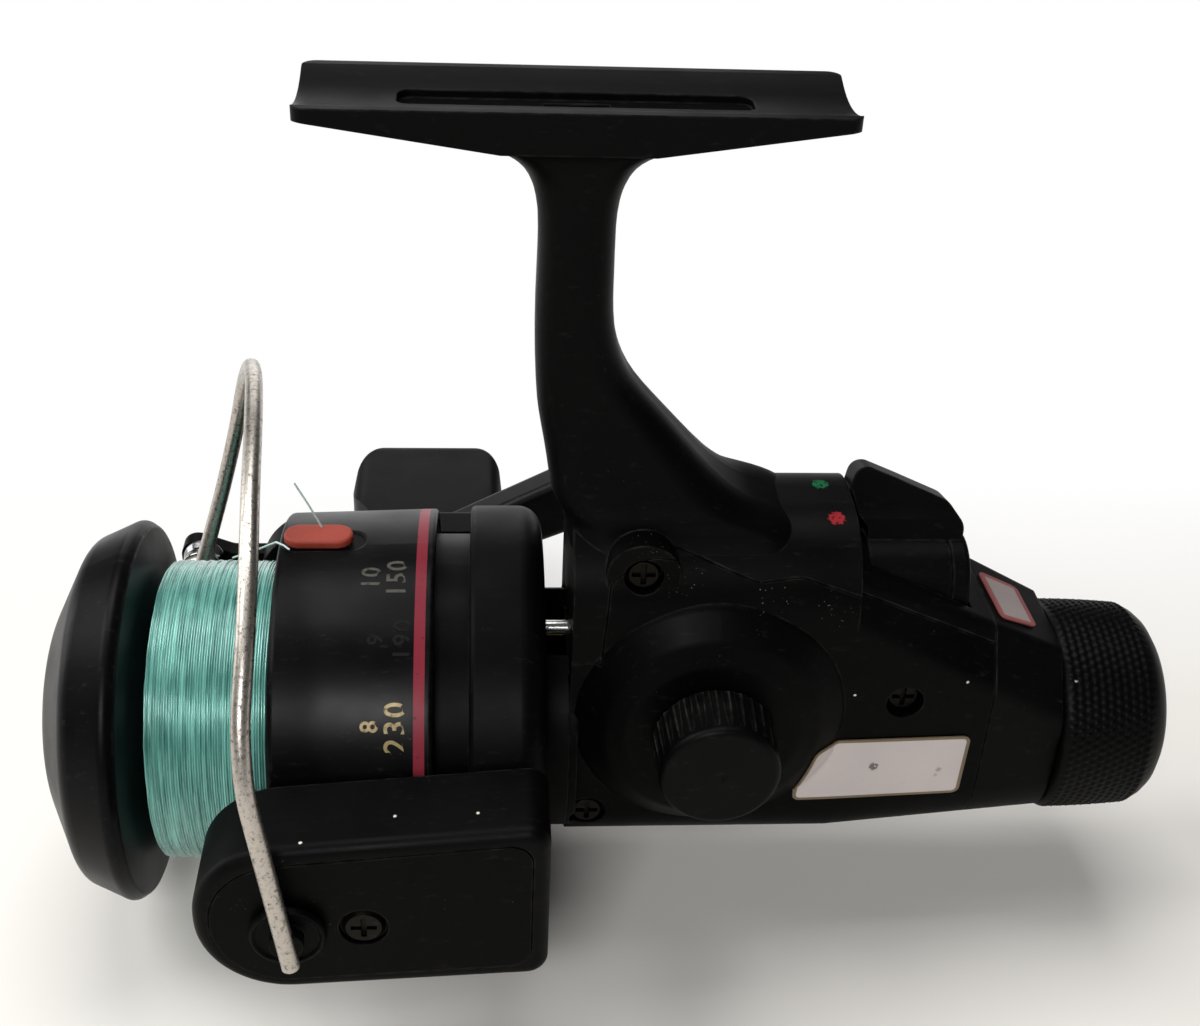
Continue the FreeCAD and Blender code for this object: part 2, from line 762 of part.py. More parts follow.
def build_screws():
    """The three screws that hold the side cover, and the small one under the case."""
    radius = size.screw_head_radius
    screws = []
    for name, x, z, face, sink in screw_places():
        at = (x, 0, z)
        top = face + sink
        seat = top + size.screw_head_height
        end = seat + size.screw_length - 0.2
        head = cone(f"{name}_head", "Y", radius - 0.35, radius, top, seat, at)
        shank = rod(f"{name}_shank", "Y", size.screw_shank_radius, seat - 0.1, end, at)
        slot = cross_slot(f"{name}_slot", "Y", top - 1, top + 0.7, at, 2 * radius - 1.4)
        screws.append(cut(name, joined(f"{name}_blank", [head, shank]), [slot]))
    named(group("cover_screw_set", screws), "cover_screws")
    at = housing_screw_place()
    head = cone("housing_screw_head", "Z", 1.3, 1.7, -0.9, 0, at)
    shank = rod("housing_screw_shank", "Z", size.small_screw_radius, -0.1, 2.1, at)
    slot = cross_slot("housing_screw_slot", "Z", -2, -0.4, at, 2.2)
    named(cut("housing_screw_body", joined("housing_screw_blank", [head, shank]), [slot]), "housing_screw")


# ---------------------------------------------------------------- drive train

def spur_outline(teeth, phase):
    """Corners of a spur gear with straight-flanked teeth, one tooth centred at the phase angle."""
    module = float(size.crosswind_module)
    root, tip = module * (teeth / 2 - 1.2), module * (teeth / 2 + 0.8)
    pitch = 2 * math.pi / teeth
    corners = []
    for tooth in range(teeth):
        middle = phase + tooth * pitch
        for radius, share in ((root, -0.3), (tip, -0.11), (tip, 0.11), (root, 0.3)):
            angle = middle + share * pitch
            corners.append(Vector(radius * math.cos(angle), 0, radius * math.sin(angle)))
    return corners


def spur_gear(name, teeth, phase, low, high, at):
    """A spur gear about a Y axis."""
    wire = Part.makePolygon([*spur_outline(teeth, phase), spur_outline(teeth, phase)[0]])
    blank = Part.Face(wire).extrude(Vector(0, float(high - low), 0))
    blank.translate(Vector(float(at[0]), float(low), float(at[2])))
    return formed(name, blank)


def pinion_teeth():
    """The helical teeth of the pinion: one toothed outline, turned as it goes along X."""
    lead = PINION_TEETH * axial_pitch()
    root = float(size.pinion_root)
    tip = root + float(size.tooth_depth)
    pitch = 2 * math.pi / PINION_TEETH
    mesh_x = float(size.gear_x) - mesh_reach()
    length = float(size.pinion_length)
    steps = 9
    sections = []
    for step in range(steps + 1):
        x = mesh_x + length * (step / steps - 0.5)
        turn = 2 * math.pi * (x - mesh_x) / lead
        corners = []
        for tooth in range(PINION_TEETH):
            middle = turn + (tooth + 0.5) * pitch
            for radius, share in ((root, -0.28), (tip, -0.16), (tip, 0.16), (root, 0.28)):
                angle = middle + share * pitch
                corners.append(Vector(x, radius * math.cos(angle), radius * math.sin(angle)))
        sections.append(Part.makePolygon(corners + [corners[0]]))
    teeth = Part.makeLoft(sections, True, True)
    teeth.translate(Vector(0, 0, float(axis_z)))
    return formed("pinion_teeth", teeth)


def mesh_reach():
    """How far in front of the gear's axis the pinion meets its teeth."""
    return math.sqrt(float(size.gear_mesh_radius) ** 2 - float(size.gear_rise) ** 2)


def axial_pitch():
    """Spacing of the gear's ribs along the pinion's axis, where they mesh."""
    return float(size.gear_mesh_radius) ** 2 / float(size.gear_rise) * 2 * math.pi / DRIVE_TEETH


def build_drive():
    """Drive gear and its shaft, the pinion in mesh with it and the bearings of both."""
    rib_tip = size.pinion_root + size.tooth_gap
    plate_face = size.pinion_root + size.tooth_depth + size.tooth_gap
    plate_back = plate_face + size.gear_plate
    disc = rod("drive_disc", "Y", size.gear_tip_radius, plate_face, plate_back, on_gear)
    hub_end = size.bulge_face_y - size.case_wall - 0.6
    hub = rod("drive_hub", "Y", size.drive_bush_radius, plate_face, hub_end, on_gear)
    shaft = rod("drive_axle", "Y", size.drive_shaft_radius, -size.bulge_face_y, shaft_top(), on_gear)
    phase = math.atan2(-float(size.gear_rise), -mesh_reach())
    ribs = []
    for tooth in range(DRIVE_TEETH):
        inner, outer = float(size.gear_rib_inner), float(size.gear_tip_radius)
        width = float(size.gear_rib_width)
        rib = Part.makeBox(outer - inner - 0.1, float(plate_face - rib_tip) + 0.2, width,
                           Vector(inner, float(rib_tip), -width / 2))
        angle = math.degrees(phase) + tooth * 360 / DRIVE_TEETH
        rib.rotate(Vector(0, 0, 0), Vector(0, -1, 0), angle)
        rib.translate(Vector(float(size.gear_x), 0, float(gear_z)))
        ribs.append(rib)
    teeth = formed("drive_teeth", Part.makeCompound(ribs))
    bolt_bore = rod("bolt_bore", "Y", size.bolt_radius + size.running_gap, -30, 30, on_gear)
    named(cut("drive_gear_body", joined("drive_blank", [disc, hub, shaft, teeth]), [bolt_bore]), "drive_gear")
    build_crosswind()
    build_pinion()
    length = size.case_wall + 0.2
    outside, bore = size.drive_bush_radius - size.fit_gap, size.drive_shaft_radius + size.running_gap
    for side, low in (("far", size.bulge_face_y - length), ("near", -size.bulge_face_y)):
        named(ring(f"{side}_bush", "Y", outside, bore, low, low + length, on_gear), f"drive_bush_{side}")


def build_crosswind():
    """The spur pair that runs off the drive shaft, with its stud, its pin and the slider it moves."""
    wall_face = -size.case_half_width + size.case_wall + 0.2
    driver_low = wall_face + 0.5
    driver_high = driver_low + 2
    line_angle = math.atan2(-float(size.gear_rise), crosswind_ahead)
    driver = spur_gear("driver_teeth", CROSSWIND_DRIVER_TEETH, line_angle, driver_low, driver_high, on_gear)
    driver_hole = rod("driver_hole", "Y", size.drive_shaft_radius + size.fit_gap, -30, 30, on_gear)
    named(cut("driver_body", driver, [driver_hole]), "crosswind_pinion")

    on_crosswind = (crosswind_x, 0, axis_z)
    half_pitch = math.pi / CROSSWIND_TEETH
    teeth_wheel = spur_gear("crosswind_teeth", CROSSWIND_TEETH, line_angle + math.pi + half_pitch,
                            driver_low, driver_high, on_crosswind)
    pin_rise = math.sqrt(float(size.crosswind_throw) ** 2 - float(stroke_middle) ** 2)
    pin_at = (slider_x, 0, axis_z - pin_rise)
    slider_low = driver_high + 0.9
    pin_end = slider_low - size.clear_gap
    pin = rod("crosswind_pin", "Y", size.crosswind_pin_radius, driver_high - 0.5, pin_end, pin_at)
    stud_hole = rod("stud_hole", "Y", size.stud_radius + size.running_gap, -30, 0, on_crosswind)
    named(cut("crosswind_body", joined("crosswind_blank", [teeth_wheel, pin]), [stud_hole]), "crosswind_gear")
    stud_pin = rod("stud_pin", "Y", size.stud_radius, wall_face, driver_high + 0.3, on_crosswind)
    stud_foot = rod("stud_foot", "Y", size.stud_radius + 1, wall_face, driver_low - 0.3, on_crosswind)
    named(joined("stud_blank", [stud_pin, stud_foot]), "crosswind_stud")
    build_slider(slider_low, slider_low + 2.6)


def build_slider(low, high):
    """The slider that carries the main shaft to and fro, and the rod that guides it."""
    reach = size.crosswind_throw + size.crosswind_pin_radius
    front, back = slider_x - 3, slider_x + 3
    plate_reach, slot_reach = reach + 2.2, reach + 0.4
    slot_half = size.crosswind_pin_radius + 0.1
    plate = block("slider_plate", (front, low, axis_z - plate_reach), (back, high, axis_z + plate_reach))
    slot = block("slider_slot", (slider_x - slot_half, low - 1, axis_z - slot_reach),
                 (slider_x + slot_half, high + 0.01, axis_z + slot_reach))
    collar_bottom = axis_z - size.guide_drop - 2.3
    collar = block("slider_collar", (front, high - 0.2, collar_bottom), (back, 3.2, axis_z + 3.6))
    shaft_hole = rod("slider_bore", "X", bore_radius, 10, 60, on_axis)
    guide_hole = rod("slider_guide_bore", "X", size.guide_radius + size.running_gap, 10, 60, on_guide)
    named(cut("slider_body", joined("slider_blank", [plate, collar]), [slot, shaft_hole, guide_hole]),
          "crosswind_slider")
    named(rod("guide_rod", "X", size.guide_radius, 15.2, size.case_seam_x - 0.6, on_guide),
          "slider_guide_rod")


def build_pinion():
    """The pinion sleeve with its teeth, the ratchet on it, its bearings and the rotor nut."""
    mesh_x = size.gear_x - mesh_reach()
    rear = mesh_x + size.pinion_length / 2
    sleeve = rod("pinion_sleeve", "X", size.pinion_root, -size.rotor_web_front - 7, rear - 0.3, on_axis)
    tail_end, tail_radius = size.pinion_tail_end, size.pinion_tail_radius
    tail = rod("pinion_tail", "X", tail_radius, rear - 1, tail_end, on_axis)
    bore = rod("pinion_bore", "X", bore_radius, -60, 60, on_axis)
    named(cut("pinion_body", joined("pinion_blank", [sleeve, tail, pinion_teeth()]), [bore]), "pinion")
    bush = ring("rear_bush", "X", tail_radius + 1.08, tail_radius + size.running_gap,
                tail_end - 3.4, tail_end, on_axis)
    named(bush, "pinion_bush")
    front, bearing = -size.boss_front, size.bearing_radius
    bearing_low = front + 0.2
    named(ring("front_bearing_ring", "X", bearing, size.pinion_root + 0.03, bearing_low,
               bearing_low + size.bearing_width, on_axis), "pinion_bearing")
    named(ring("bearing_plate_ring", "X", size.boss_radius - 2.55, bearing + size.running_gap, front,
               front + 4, on_axis), "bearing_plate")
    build_ratchet(front + 5, 2.2)


def build_ratchet(low, thickness):
    """The ratchet wheel behind the rotor's bearing, with one sloping notch for each tooth."""
    teeth, radius = int(float(size.ratchet_teeth)), float(size.ratchet_radius)
    wheel = Part.makeCylinder(radius, thickness, Vector(float(low), 0, float(axis_z)), Vector(1, 0, 0))
    notch_depth = 1.5
    slope_end = 2 * math.pi / teeth * 0.8
    for tooth in range(teeth):
        root = Vector(0, radius - notch_depth, 0)
        tip = Vector(0, (radius + 0.2) * math.cos(slope_end), (radius + 0.2) * math.sin(slope_end))
        notch = Part.makePolygon([root, Vector(0, radius + 1, 0), tip, root])
        tool = Part.Face(notch).extrude(Vector(thickness + 2, 0, 0))
        tool.rotate(Vector(0, 0, 0), Vector(1, 0, 0), tooth * 360 / teeth)
        tool.translate(Vector(float(low) - 1, 0, float(axis_z)))
        wheel = wheel.cut(tool)
    bore = rod("ratchet_bore", "X", size.pinion_root + size.fit_gap, -30, 30, on_axis)
    named(cut("ratchet_body", formed("ratchet_blank", wheel), [bore]), "ratchet_wheel")


def build_antireverse():
    """Anti-reverse lever on top of the tail, its rod and finger, and the pawl that it lifts."""
    radius = size.lever_barrel_radius
    groove, groove_width = size.lever_rear - 2.8, 0.4
    barrel = turned("lever_barrel", "X", [
        (size.lever_front, 0), (size.lever_front, radius, 0.5), (groove, radius), (groove, radius - 0.5),
        (groove + groove_width, radius - 0.5), (groove + groove_width, radius, 0.2),
        (size.lever_rear, radius, 0.7), (size.lever_rear, 0)], on_lever)
    half = size.lever_width / 2
    lean = ((1, 0, 0), -size.lever_lean)
    front = size.case_shoulder + size.clear_gap
    paddle = slab("lever_paddle", "Y", [
        (front, 12.2, 0.8), (front + 0.8, 15.3, 1.7), (41.4, 13.2, 8), (47.9, 10.4, 2.6), (50.1, 7.4, 2.4),
        (49.8, 4.5, 1), (48.5, 2), (38.4, 2), (37.9, 7.2, 1), (front + 1.2, 8.6, 1.2)],
        -half, half, on_lever, turn=lean)
    front_view = slab("lever_front_view", "X", mirrored_y([
        (half - 0.7, 15.9, 1.6), (half - 0.3, 9, 6), (half + 2.2, 2.5)]), 30, 55, on_lever, turn=lean)
    soft_paddle = shared("lever_paddle_soft", paddle, front_view)
    named(joined("lever_body", [barrel, soft_paddle]), "antireverse_lever")
    pawl_low, pawl_high = -size.boss_front + 5, -size.boss_front + 7.2
    drop_front, drop_back = 3.2, 4.6
    finger_z = on_lever[2] - size.finger_drop
    shaft = rod("lever_rod", "X", size.lever_rod_radius, drop_front, size.lever_front, on_lever)
    drop = block("lever_drop", (drop_front, -1.2, finger_z - 1), (drop_back, 1.2, on_lever[2]))
    finger = rod("lever_finger", "X", 1.0, pawl_low, drop_back, (0, 0, finger_z))
    named(joined("rod_body", [shaft, drop, finger]), "antireverse_rod")
    arm = slab("pawl_arm", "X", [
        (-7.3, 10.2, 1.0), (-4.6, 10.9, 1.0), (2.9, 9.4, 0.5), (3.3, 7.5), (1.6, 7.6, 0.6), (-5.8, 7.5, 1.2)],
        pawl_low, pawl_high, on_axis)
    pin_radius = size.pawl_pin_radius
    pin_hole = rod("pawl_hole", "X", pin_radius + size.running_gap, -20, 20, on_pawl_pin)
    named(cut("pawl_body", arm, [pin_hole]), "antireverse_pawl")
    pin_low, pin_high = -size.boss_front + 4, size.case_front + 0.1
    named(rod("pawl_pin_rod", "X", pin_radius, pin_low, pin_high, on_pawl_pin), "pawl_pin")


# ---------------------------------------------------------------- rotor and bail

def arm_outline(inset, half_height, rear_height):
    """A rotor arm seen from the side, drawn in from its edge by an inset."""
    nose = -size.pivot_forward - size.arm_nose + inset
    half = half_height - inset
    rear = rear_height - inset
    back = -size.rotor_rear - inset
    bend = half - 0.3
    low = -half + size.arm_rear_rise
    return [(nose, -half, bend), (back, low, 2.5), (back, rear, 2.5), (nose, half, bend)]


def near_arm_outline(inset):
    """The near arm, which is the wider of the two."""
    return arm_outline(inset, size.arm_half_height, size.arm_rear_half_height)


def build_rotor():
    """The rotor: a drum inside the spool's skirt, a ring behind it and two arms."""
    wall = size.rotor_wall
    ring_front, rear = -size.rotor_ring_front, -size.rotor_rear
    web = -size.rotor_web_front
    drum = size.rotor_drum_radius
    hub = size.pinion_root + size.fit_gap
    body = turned("rotor_body", "X", [
        (web - 2, hub), (web - 2, 7, 1), (web, 8.5, 1), (web, drum - wall, 1.5),
        (-size.rotor_drum_front, drum - wall), (-size.rotor_drum_front, drum), (ring_front, drum),
        (ring_front, size.rotor_radius, 0.7), (rear, size.rotor_radius, 3), (rear, drum - wall),
        (web + 3, drum - wall, 1.5), (web + 3, 7.5, 1), (web + 5, 6.5, 1), (web + 5, hub),
    ], on_axis)
    inner, outer = size.arm_inner, size.arm_outer
    root = drum + 0.6
    far_half = size.far_arm_half_height
    near_arm = slab("near_arm", "Y", near_arm_outline(0), -outer, -inner, on_axis)
    far_arm = slab("far_arm", "Y", arm_outline(0, far_half, far_half), inner, size.far_arm_outer, on_axis)
    for arm, face in ((near_arm, -outer), (far_arm, size.far_arm_outer)):
        at_face = float(face)
        round_edges(arm, size.arm_edge, lambda edge, y=at_face: abs(edge.BoundBox.YMin - y) < 0.01
                    and abs(edge.BoundBox.YMax - y) < 0.01)
    bridge = far_half - 0.4
    for low, high in ((-inner - 0.5, -root), (root, inner + 0.5)):
        add_slab(body, "Y", [
            (ring_front, -bridge), (rear - 0.4, -bridge), (rear - 0.4, bridge), (ring_front, bridge)],
            low, high)
    cover = size.arm_cover_thickness
    rim = float(size.arm_rim)
    seat = slab("arm_cover_seat", "Y", near_arm_outline(rim), -outer - 2, -outer + cover, on_axis)
    arm_room = slab("arm_room", "Y", near_arm_outline(rim + 1.6), -outer, -outer + cover + 5, on_axis)
    seat_face = -outer + cover
    pivot = rod("pivot_bores", "Y", size.pivot_radius + size.running_gap, -60, 60, on_pivot)
    screw = rod("arm_screw_bore", "Y", size.screw_shank_radius + size.fit_gap, -40, -30.5, on_arm_screw)
    post = rod("arm_screw_post", "Y", size.screw_shank_radius + 1.6, seat_face, -31, on_arm_screw)
    pivot_post = rod("pivot_post", "Y", size.pivot_radius + 1.6, seat_face, -31, on_pivot)
    arms = cut("rotor_arms", joined("rotor_arms_joined", [body, near_arm, far_arm]), [seat, arm_room])
    named(cut("rotor_cut", joined("rotor_joined", [arms, post, pivot_post]), [pivot, screw]), "rotor")

    plate = slab("arm_cover_plate", "Y", near_arm_outline(rim + 0.1), -outer - 0.1, -outer + cover, on_axis)
    head_seat = -outer + 0.7
    holes = [rod("cover_pivot_hole", "Y", size.cup_radius - 1.4, -60, 0, on_pivot),
             rod("cover_screw_hole", "Y", size.screw_shank_radius + 0.1, -60, 0, on_arm_screw),
             rod("cover_screw_sink", "Y", 2.75, -60, head_seat, on_arm_screw)]
    named(cut("arm_cover_body", plate, holes), "rotor_arm_cover")
    head = cone("arm_screw_head", "Y", 2.0, 2.4, -outer - 0.1, head_seat, on_arm_screw)
    shank = rod("arm_screw_shank", "Y", size.screw_shank_radius, head_seat - 0.1, -31, on_arm_screw)
    arm_screw = joined("arm_screw", [head, shank])
    cross = cross_slot("arm_screw_slot", "Y", -outer - 1, head_seat - 0.25, on_arm_screw, 2.9)
    named(cut("arm_screw_body", arm_screw, [cross]), "arm_cover_screw")

    web_face = web - 2
    nut = slab("rotor_nut_hex", "X", around(6, 5.5), web_face - 3, web_face, on_axis)
    named(cut("rotor_nut_body", nut, [rod("nut_bore", "X", hub, -60, 0, on_axis)]), "rotor_nut")


def rounded_path(points):
    """Straight runs joined by arcs as large as the runs allow."""
    edges = []
    last = points[0]
    for before, point, after in zip(points, points[1:], points[2:]):
        back, ahead = before - point, after - point
        run = 0.45 * min(back.Length, ahead.Length)
        back.normalize()
        ahead.normalize()
        half = back.getAngle(ahead) / 2
        start, end = point + back * run, point + ahead * run
        bisector = (back + ahead).normalize()
        radius = run * math.tan(half)
        middle = point + bisector * (radius / math.sin(half) - radius)
        edges.append(Part.LineSegment(last, start).toShape())
        edges.append(Part.Arc(start, middle, end).toShape())
        last = end
    edges.append(Part.LineSegment(last, points[-1]).toShape())
    return Part.Wire(edges)


def swept(name, points, radius):
    """A round wire along a path of points."""
    path = rounded_path(points)
    direction = points[1] - points[0]
    section = Part.Wire(Part.makeCircle(radius, points[0], direction))
    return formed(name, path.makePipeShell([section], True, False))


def build_bail():
    """The bail: wire, cup, far lever, line roller, and the pins that they turn on."""
    z = float(axis_z)
    x = float(pivot_x)
    near = float(size.arm_outer) + 2.45
    far = float(size.far_arm_outer) + 0.8
    end_x, end_z = x - float(size.roller_ahead), z + float(size.roller_rise)
    route = [
        Vector(x + 0.3, -near, z - 3.4),
        Vector(x - 1.6, -near, z + 12.5),
        Vector(x - 3.1, -near + 1.5, z + 21.5),
        Vector(x - 3.4, -36.0, z + 27.5),
        Vector(x - 3.1, -31.0, z + 33.0),
        Vector(x - 3.2, -23.5, z + 38.3),
        Vector(x - 3.8, -14.0, z + 42.4),
        Vector(x - 4.6, -3.0, z + 44.6),
        Vector(x - 6.0, 9.0, z + 43.9),
        Vector(x - 8.0, 20.0, z + 39.9),
        Vector(x - 10.3, 28.0, z + 33.0),
        Vector(x - 12.6, far - 2.4, z + 23.5),
        Vector(x - 15.6, far - 3.4, z + 12.5),
        Vector(end_x + 0.2, far - 6.9, end_z + 1.2),
    ]
    wire = swept("bail_wire_sweep", route, float(size.wire_radius))
    named(wire, "bail_wire")

    low, cup_radius, shaft = -size.arm_outer - 0.1, size.cup_radius, size.pivot_radius
    cup = turned("bail_cup_turned", "Y", [
        (low - 1.1, 0), (low - 1.1, cup_radius - 1.1, 0.3), (low - 1.6, cup_radius - 0.6, 0.25),
        (low - 0.3, cup_radius, 0.5), (low - 0.3, shaft), (-31.3, shaft), (-31.3, 0)], on_pivot)
    boss = rod("wire_boss", "Y", 1.9, low - 2.6, low - 1.0, on_pivot)
    named(cut("bail_cup_body", joined("bail_cup_blank", [cup, boss]), [wire]), "bail_cup")

    outer = size.far_arm_outer + size.clear_gap
    lever_face = outer + 2.6
    ahead, rise, end_half = size.roller_ahead, size.roller_rise, size.lever_end_half
    boss_half = 5.8
    lever = slab("bail_lever_blank", "Y", [
        (boss_half, -boss_half, boss_half - 0.2), (boss_half, boss_half, boss_half - 0.2),
        (-4.2, boss_half, 4), (-7.6, 0.9, 4), (-ahead + 4, 0.9, 3),
        (-ahead - end_half, rise + end_half, end_half - 1.2),
        (-ahead - end_half, rise - end_half, end_half - 0.8), (-6, -boss_half, 8)],
        outer, lever_face, on_pivot)
    on_roller = (pivot_x - ahead, 0, axis_z + rise)
    pin_radius = size.roller_pin_radius
    pin_hole = rod("roller_pin_hole", "Y", pin_radius + size.fit_gap, 0, 80, on_roller)
    pivot_hole = rod("lever_pivot_hole", "Y", shaft + size.fit_gap, 0, 80, on_pivot)
    named(cut("bail_lever_body", lever, [pin_hole, pivot_hole]), "bail_lever")
    pivot_shank = rod("bail_pivot_shank", "Y", shaft, size.arm_inner + 1, lever_face, on_pivot)
    pivot_head = rod("bail_pivot_head", "Y", 3.6, lever_face, lever_face + 1.4, on_pivot)
    named(joined("bail_pivot_blank", [pivot_shank, pivot_head]), "bail_pivot_screw")

    roller_high = outer - size.clear_gap
    roller_low = roller_high - size.roller_width
    rim, bore, middle = size.roller_radius, pin_radius + size.running_gap, (roller_low + roller_high) / 2
    named(turned("roller_turned", "Y", [
        (roller_low, bore), (roller_low, rim, 0.4), (middle, rim - 0.7, 1.2), (roller_high, rim, 0.4),
        (roller_high, bore)], on_roller), "line_roller")
    holder_face = roller_low - size.clear_gap
    holder = turned("roller_holder", "Y", [
        (holder_face - 3.9, 0), (holder_face - 3.9, 1.4, 0.5), (holder_face, rim + 0.2, 0.6),
        (holder_face, pin_radius), (lever_face, pin_radius), (lever_face, 0)], on_roller)
    named(cut("roller_holder_body", holder, [wire]), "roller_holder")


# ---------------------------------------------------------------- spool

def build_spool():
    """Spool with its lip, arbor and skirt, the wound line, the release button and the shaft."""
    nose, lip, line_front = -size.nose_x, -size.lip_x, -size.line_front_x
    skirt_front, skirt_rear = -size.skirt_front_x, -size.skirt_rear_x
    wall, arbor = size.skirt_wall, size.arbor_radius
    inner_front, inner_arbor = skirt_front + 1.7, arbor - 1.8
    button, button_hole = size.button_radius, size.button_radius + 0.3
    button_floor, bore = nose + 5.5, size.shaft_radius + size.fit_gap
    hub_rear = -size.rotor_web_front - 11.4
    body = turned("spool_turned", "X", [
        (nose + 1.6, button_hole), (nose, button + 1.4, 0.8), (nose + 1.2, arbor, 12),
        (-size.lip_front_x, size.lip_front_radius, 3), (lip, size.lip_radius, 1.2),
        (lip + 1.3, size.lip_radius - 0.9, 0.5), (line_front, arbor, 0.8), (skirt_front - 0.4, arbor, 0.8),
        (skirt_front, size.skirt_front_radius, 0.8), (skirt_rear, size.skirt_radius, 0.5),
        (skirt_rear, size.skirt_radius - wall), (inner_front, size.skirt_front_radius - wall, 1),
        (inner_front, inner_arbor, 1), (line_front + 0.6, inner_arbor, 1), (line_front + 0.6, 5.2, 1),
        (hub_rear, 4.5), (hub_rear, bore), (button_floor, bore), (button_floor, button_hole),
    ], on_axis)
    winding_bore = arbor + 0.03
    named(turned("winding_turned", "X", [
        (line_front + 0.2, winding_bore, 0.85), (line_front - 0.05, size.line_radius, 1),
        (skirt_front - 0.5, size.line_radius, 0.5), (skirt_front - 0.62, winding_bore, 0.85)],
        on_axis), "wound_line")
    named(turned("button_turned", "X", [
        (nose - 0.6, 0), (nose - 0.2, button - 0.8, 1), (nose + 0.9, button, 0.3), (nose + 3.2, button),
        (nose + 3.2, 0)], on_axis), "spool_release_button")
    named(rod("main_shaft_rod", "X", size.shaft_radius, button_floor + 0.1, 70, on_axis), "main_shaft")
    build_line_clip(body)


def build_line_clip(spool_body):
    """The clip that holds the line's end, pinned into a shallow recess in the skirt."""
    half_length, half_width = size.clip_length / 2, size.clip_width / 2
    spare, run_in, side = 0.3, 1.6, 1.2
    taper = (size.skirt_radius - size.skirt_front_radius) / (size.skirt_front_x - size.skirt_rear_x)
    skirt_here = size.skirt_front_radius + taper * (size.skirt_front_x - size.clip_x)
    seat = skirt_here + size.clip_rise
    at, pin_at = (-size.clip_x, side, axis_z), (-size.clip_x + 2, side, axis_z)
    low, high, wide = -half_length - spare, half_length + run_in, half_width + spare
    recess = slab("clip_recess", "Z", [
        (low, -wide, half_width), (high, -wide, half_width), (high, wide, half_width),
        (low, wide, half_width)],
        seat - 0.75, seat + 2, at)
    pin_hole = rod("clip_pin_hole", "Z", size.small_screw_radius + size.fit_gap, 15, 40, pin_at)
    named(cut("spool_body", spool_body, [pin_hole, recess]), "spool")
    clip = slab("line_clip_blank", "Z", rectangle(half_length, half_width, half_width - 0.05),
                seat - 0.3, seat + 0.7, at)
    round_edges(clip, 0.4, lambda edge: edge.BoundBox.ZMin > float(seat) + 0.6)
    pin_low = seat - size.clip_pin_length
    clip_pin = rod("line_clip_pin", "Z", size.small_screw_radius, pin_low, seat, pin_at)
    named(joined("line_clip_body", [clip, clip_pin]), "line_clip")


# ---------------------------------------------------------------- handle

def build_handle():
    """Screw cap and its bolt on the near side, and the crank with its knob on the far side."""
    face = -size.bulge_face_y - size.clear_gap
    end = face - size.cap_length + size.clear_gap
    bolt, bolt_end = size.bolt_radius, 30
    cap = turned("cap_turned", "Y", [
        (end - 0.25, 0), (end - 0.1, 3.5, 8), (end, size.cap_radius - 0.3, 0.9), (face, size.cap_radius, 0.4),
        (face, bolt), (bolt_end, bolt), (bolt_end, 0)], on_gear)
    flutes = [rod(f"cap_flute_{i}", "Y", size.flute_radius, end + 1.3, face + 0.1,
                  (on_gear[0] + across, 0, on_gear[2] + up))
              for i, (across, up) in enumerate(around(CAP_FLUTES, float(size.cap_radius) + 0.1))]
    named(cut("cap_body", cap, flutes), "handle_screw_cap")
    start, neck_end, step = size.bulge_face_y + size.clear_gap, size.crank_inner, shaft_top() + 0.2
    socket, bolt_hole = size.drive_shaft_radius + size.running_gap, bolt + size.fit_gap
    named(turned("neck_turned", "Y", [
        (start, socket), (start, 7.0, 0.6), (start + 4, 6.4, 1), (neck_end - 4, 4.4, 4),
        (neck_end, size.crank_hub_radius - 0.1), (neck_end, bolt_hole), (step, bolt_hole), (step, socket)],
        on_gear), "handle_neck")
    build_crank()


def build_crank():
    """The crank, and the flat knob that spins on its spindle."""
    inner, outer = size.crank_inner, size.crank_inner + size.crank_thickness
    end_x, hub, tip = -size.crank_length, size.crank_hub_radius, size.crank_tip_radius
    arm = slab("crank_blank", "Y", [
        (hub, -hub, hub - 0.3), (hub, hub, hub - 0.3), (-12, 4.9, 20), (end_x - tip, tip, tip - 0.2),
        (end_x - tip, -tip, tip - 0.2), (-12, -4.9, 20)],
        inner, outer, on_gear, turn=((0, -1, 0), size.crank_angle))
    round_edges(arm, size.crank_edge, lambda edge: edge.BoundBox.YLength < 0.01)
    named(arm, "handle_arm")
    angle = math.radians(float(size.crank_angle))
    ahead, down = size.crank_length * math.cos(angle), size.crank_length * math.sin(angle)
    knob_at = (size.gear_x - ahead, 0, gear_z - down)
    spindle = size.spindle_radius
    named(joined("knob_spindle_blank", [
        rod("spindle_rod", "Y", spindle, outer, outer + size.knob_width - 4, knob_at),
        rod("spindle_collar", "Y", spindle + 1.2, outer, outer + 1.2, knob_at)]), "knob_spindle")

    start = outer + 1.5
    end, shoulder = start + size.knob_width, start + 9
    half_length, half = size.knob_length / 2, size.knob_thickness / 2
    plan = slab("knob_plan", "Z", [
        (-half_length + 5, start, 2), (half_length - 5, start, 2), (half_length, shoulder, 9),
        (half_length - 1, end, 9), (-half_length + 1, end, 9), (-half_length, shoulder, 9)],
        -half, half, knob_at)
    spare, soft_corner = 0.1, 2.8
    ends = slab("knob_ends", "X", [
        (start - spare, -half, 2.2), (end + spare, -half, soft_corner), (end + spare, half, soft_corner),
        (start - spare, half, 2.2)], -30, 30, knob_at)
    sides = slab("knob_sides", "Y", rectangle(half_length + spare, half, soft_corner), 0, end + 5, knob_at)
    soft = shared("knob_soft", shared("knob_ends_cut", plan, ends), sides)
    bore = rod("knob_bore", "Y", spindle + size.running_gap, 0, end - 5, knob_at)
    named(cut("knob_body", soft, [bore]), "handle_knob")


def shaft_top():
    """Where the drive gear's own shaft ends, inside the handle's neck."""
    return size.bulge_face_y + 2


# ---------------------------------------------------------------- rear drag

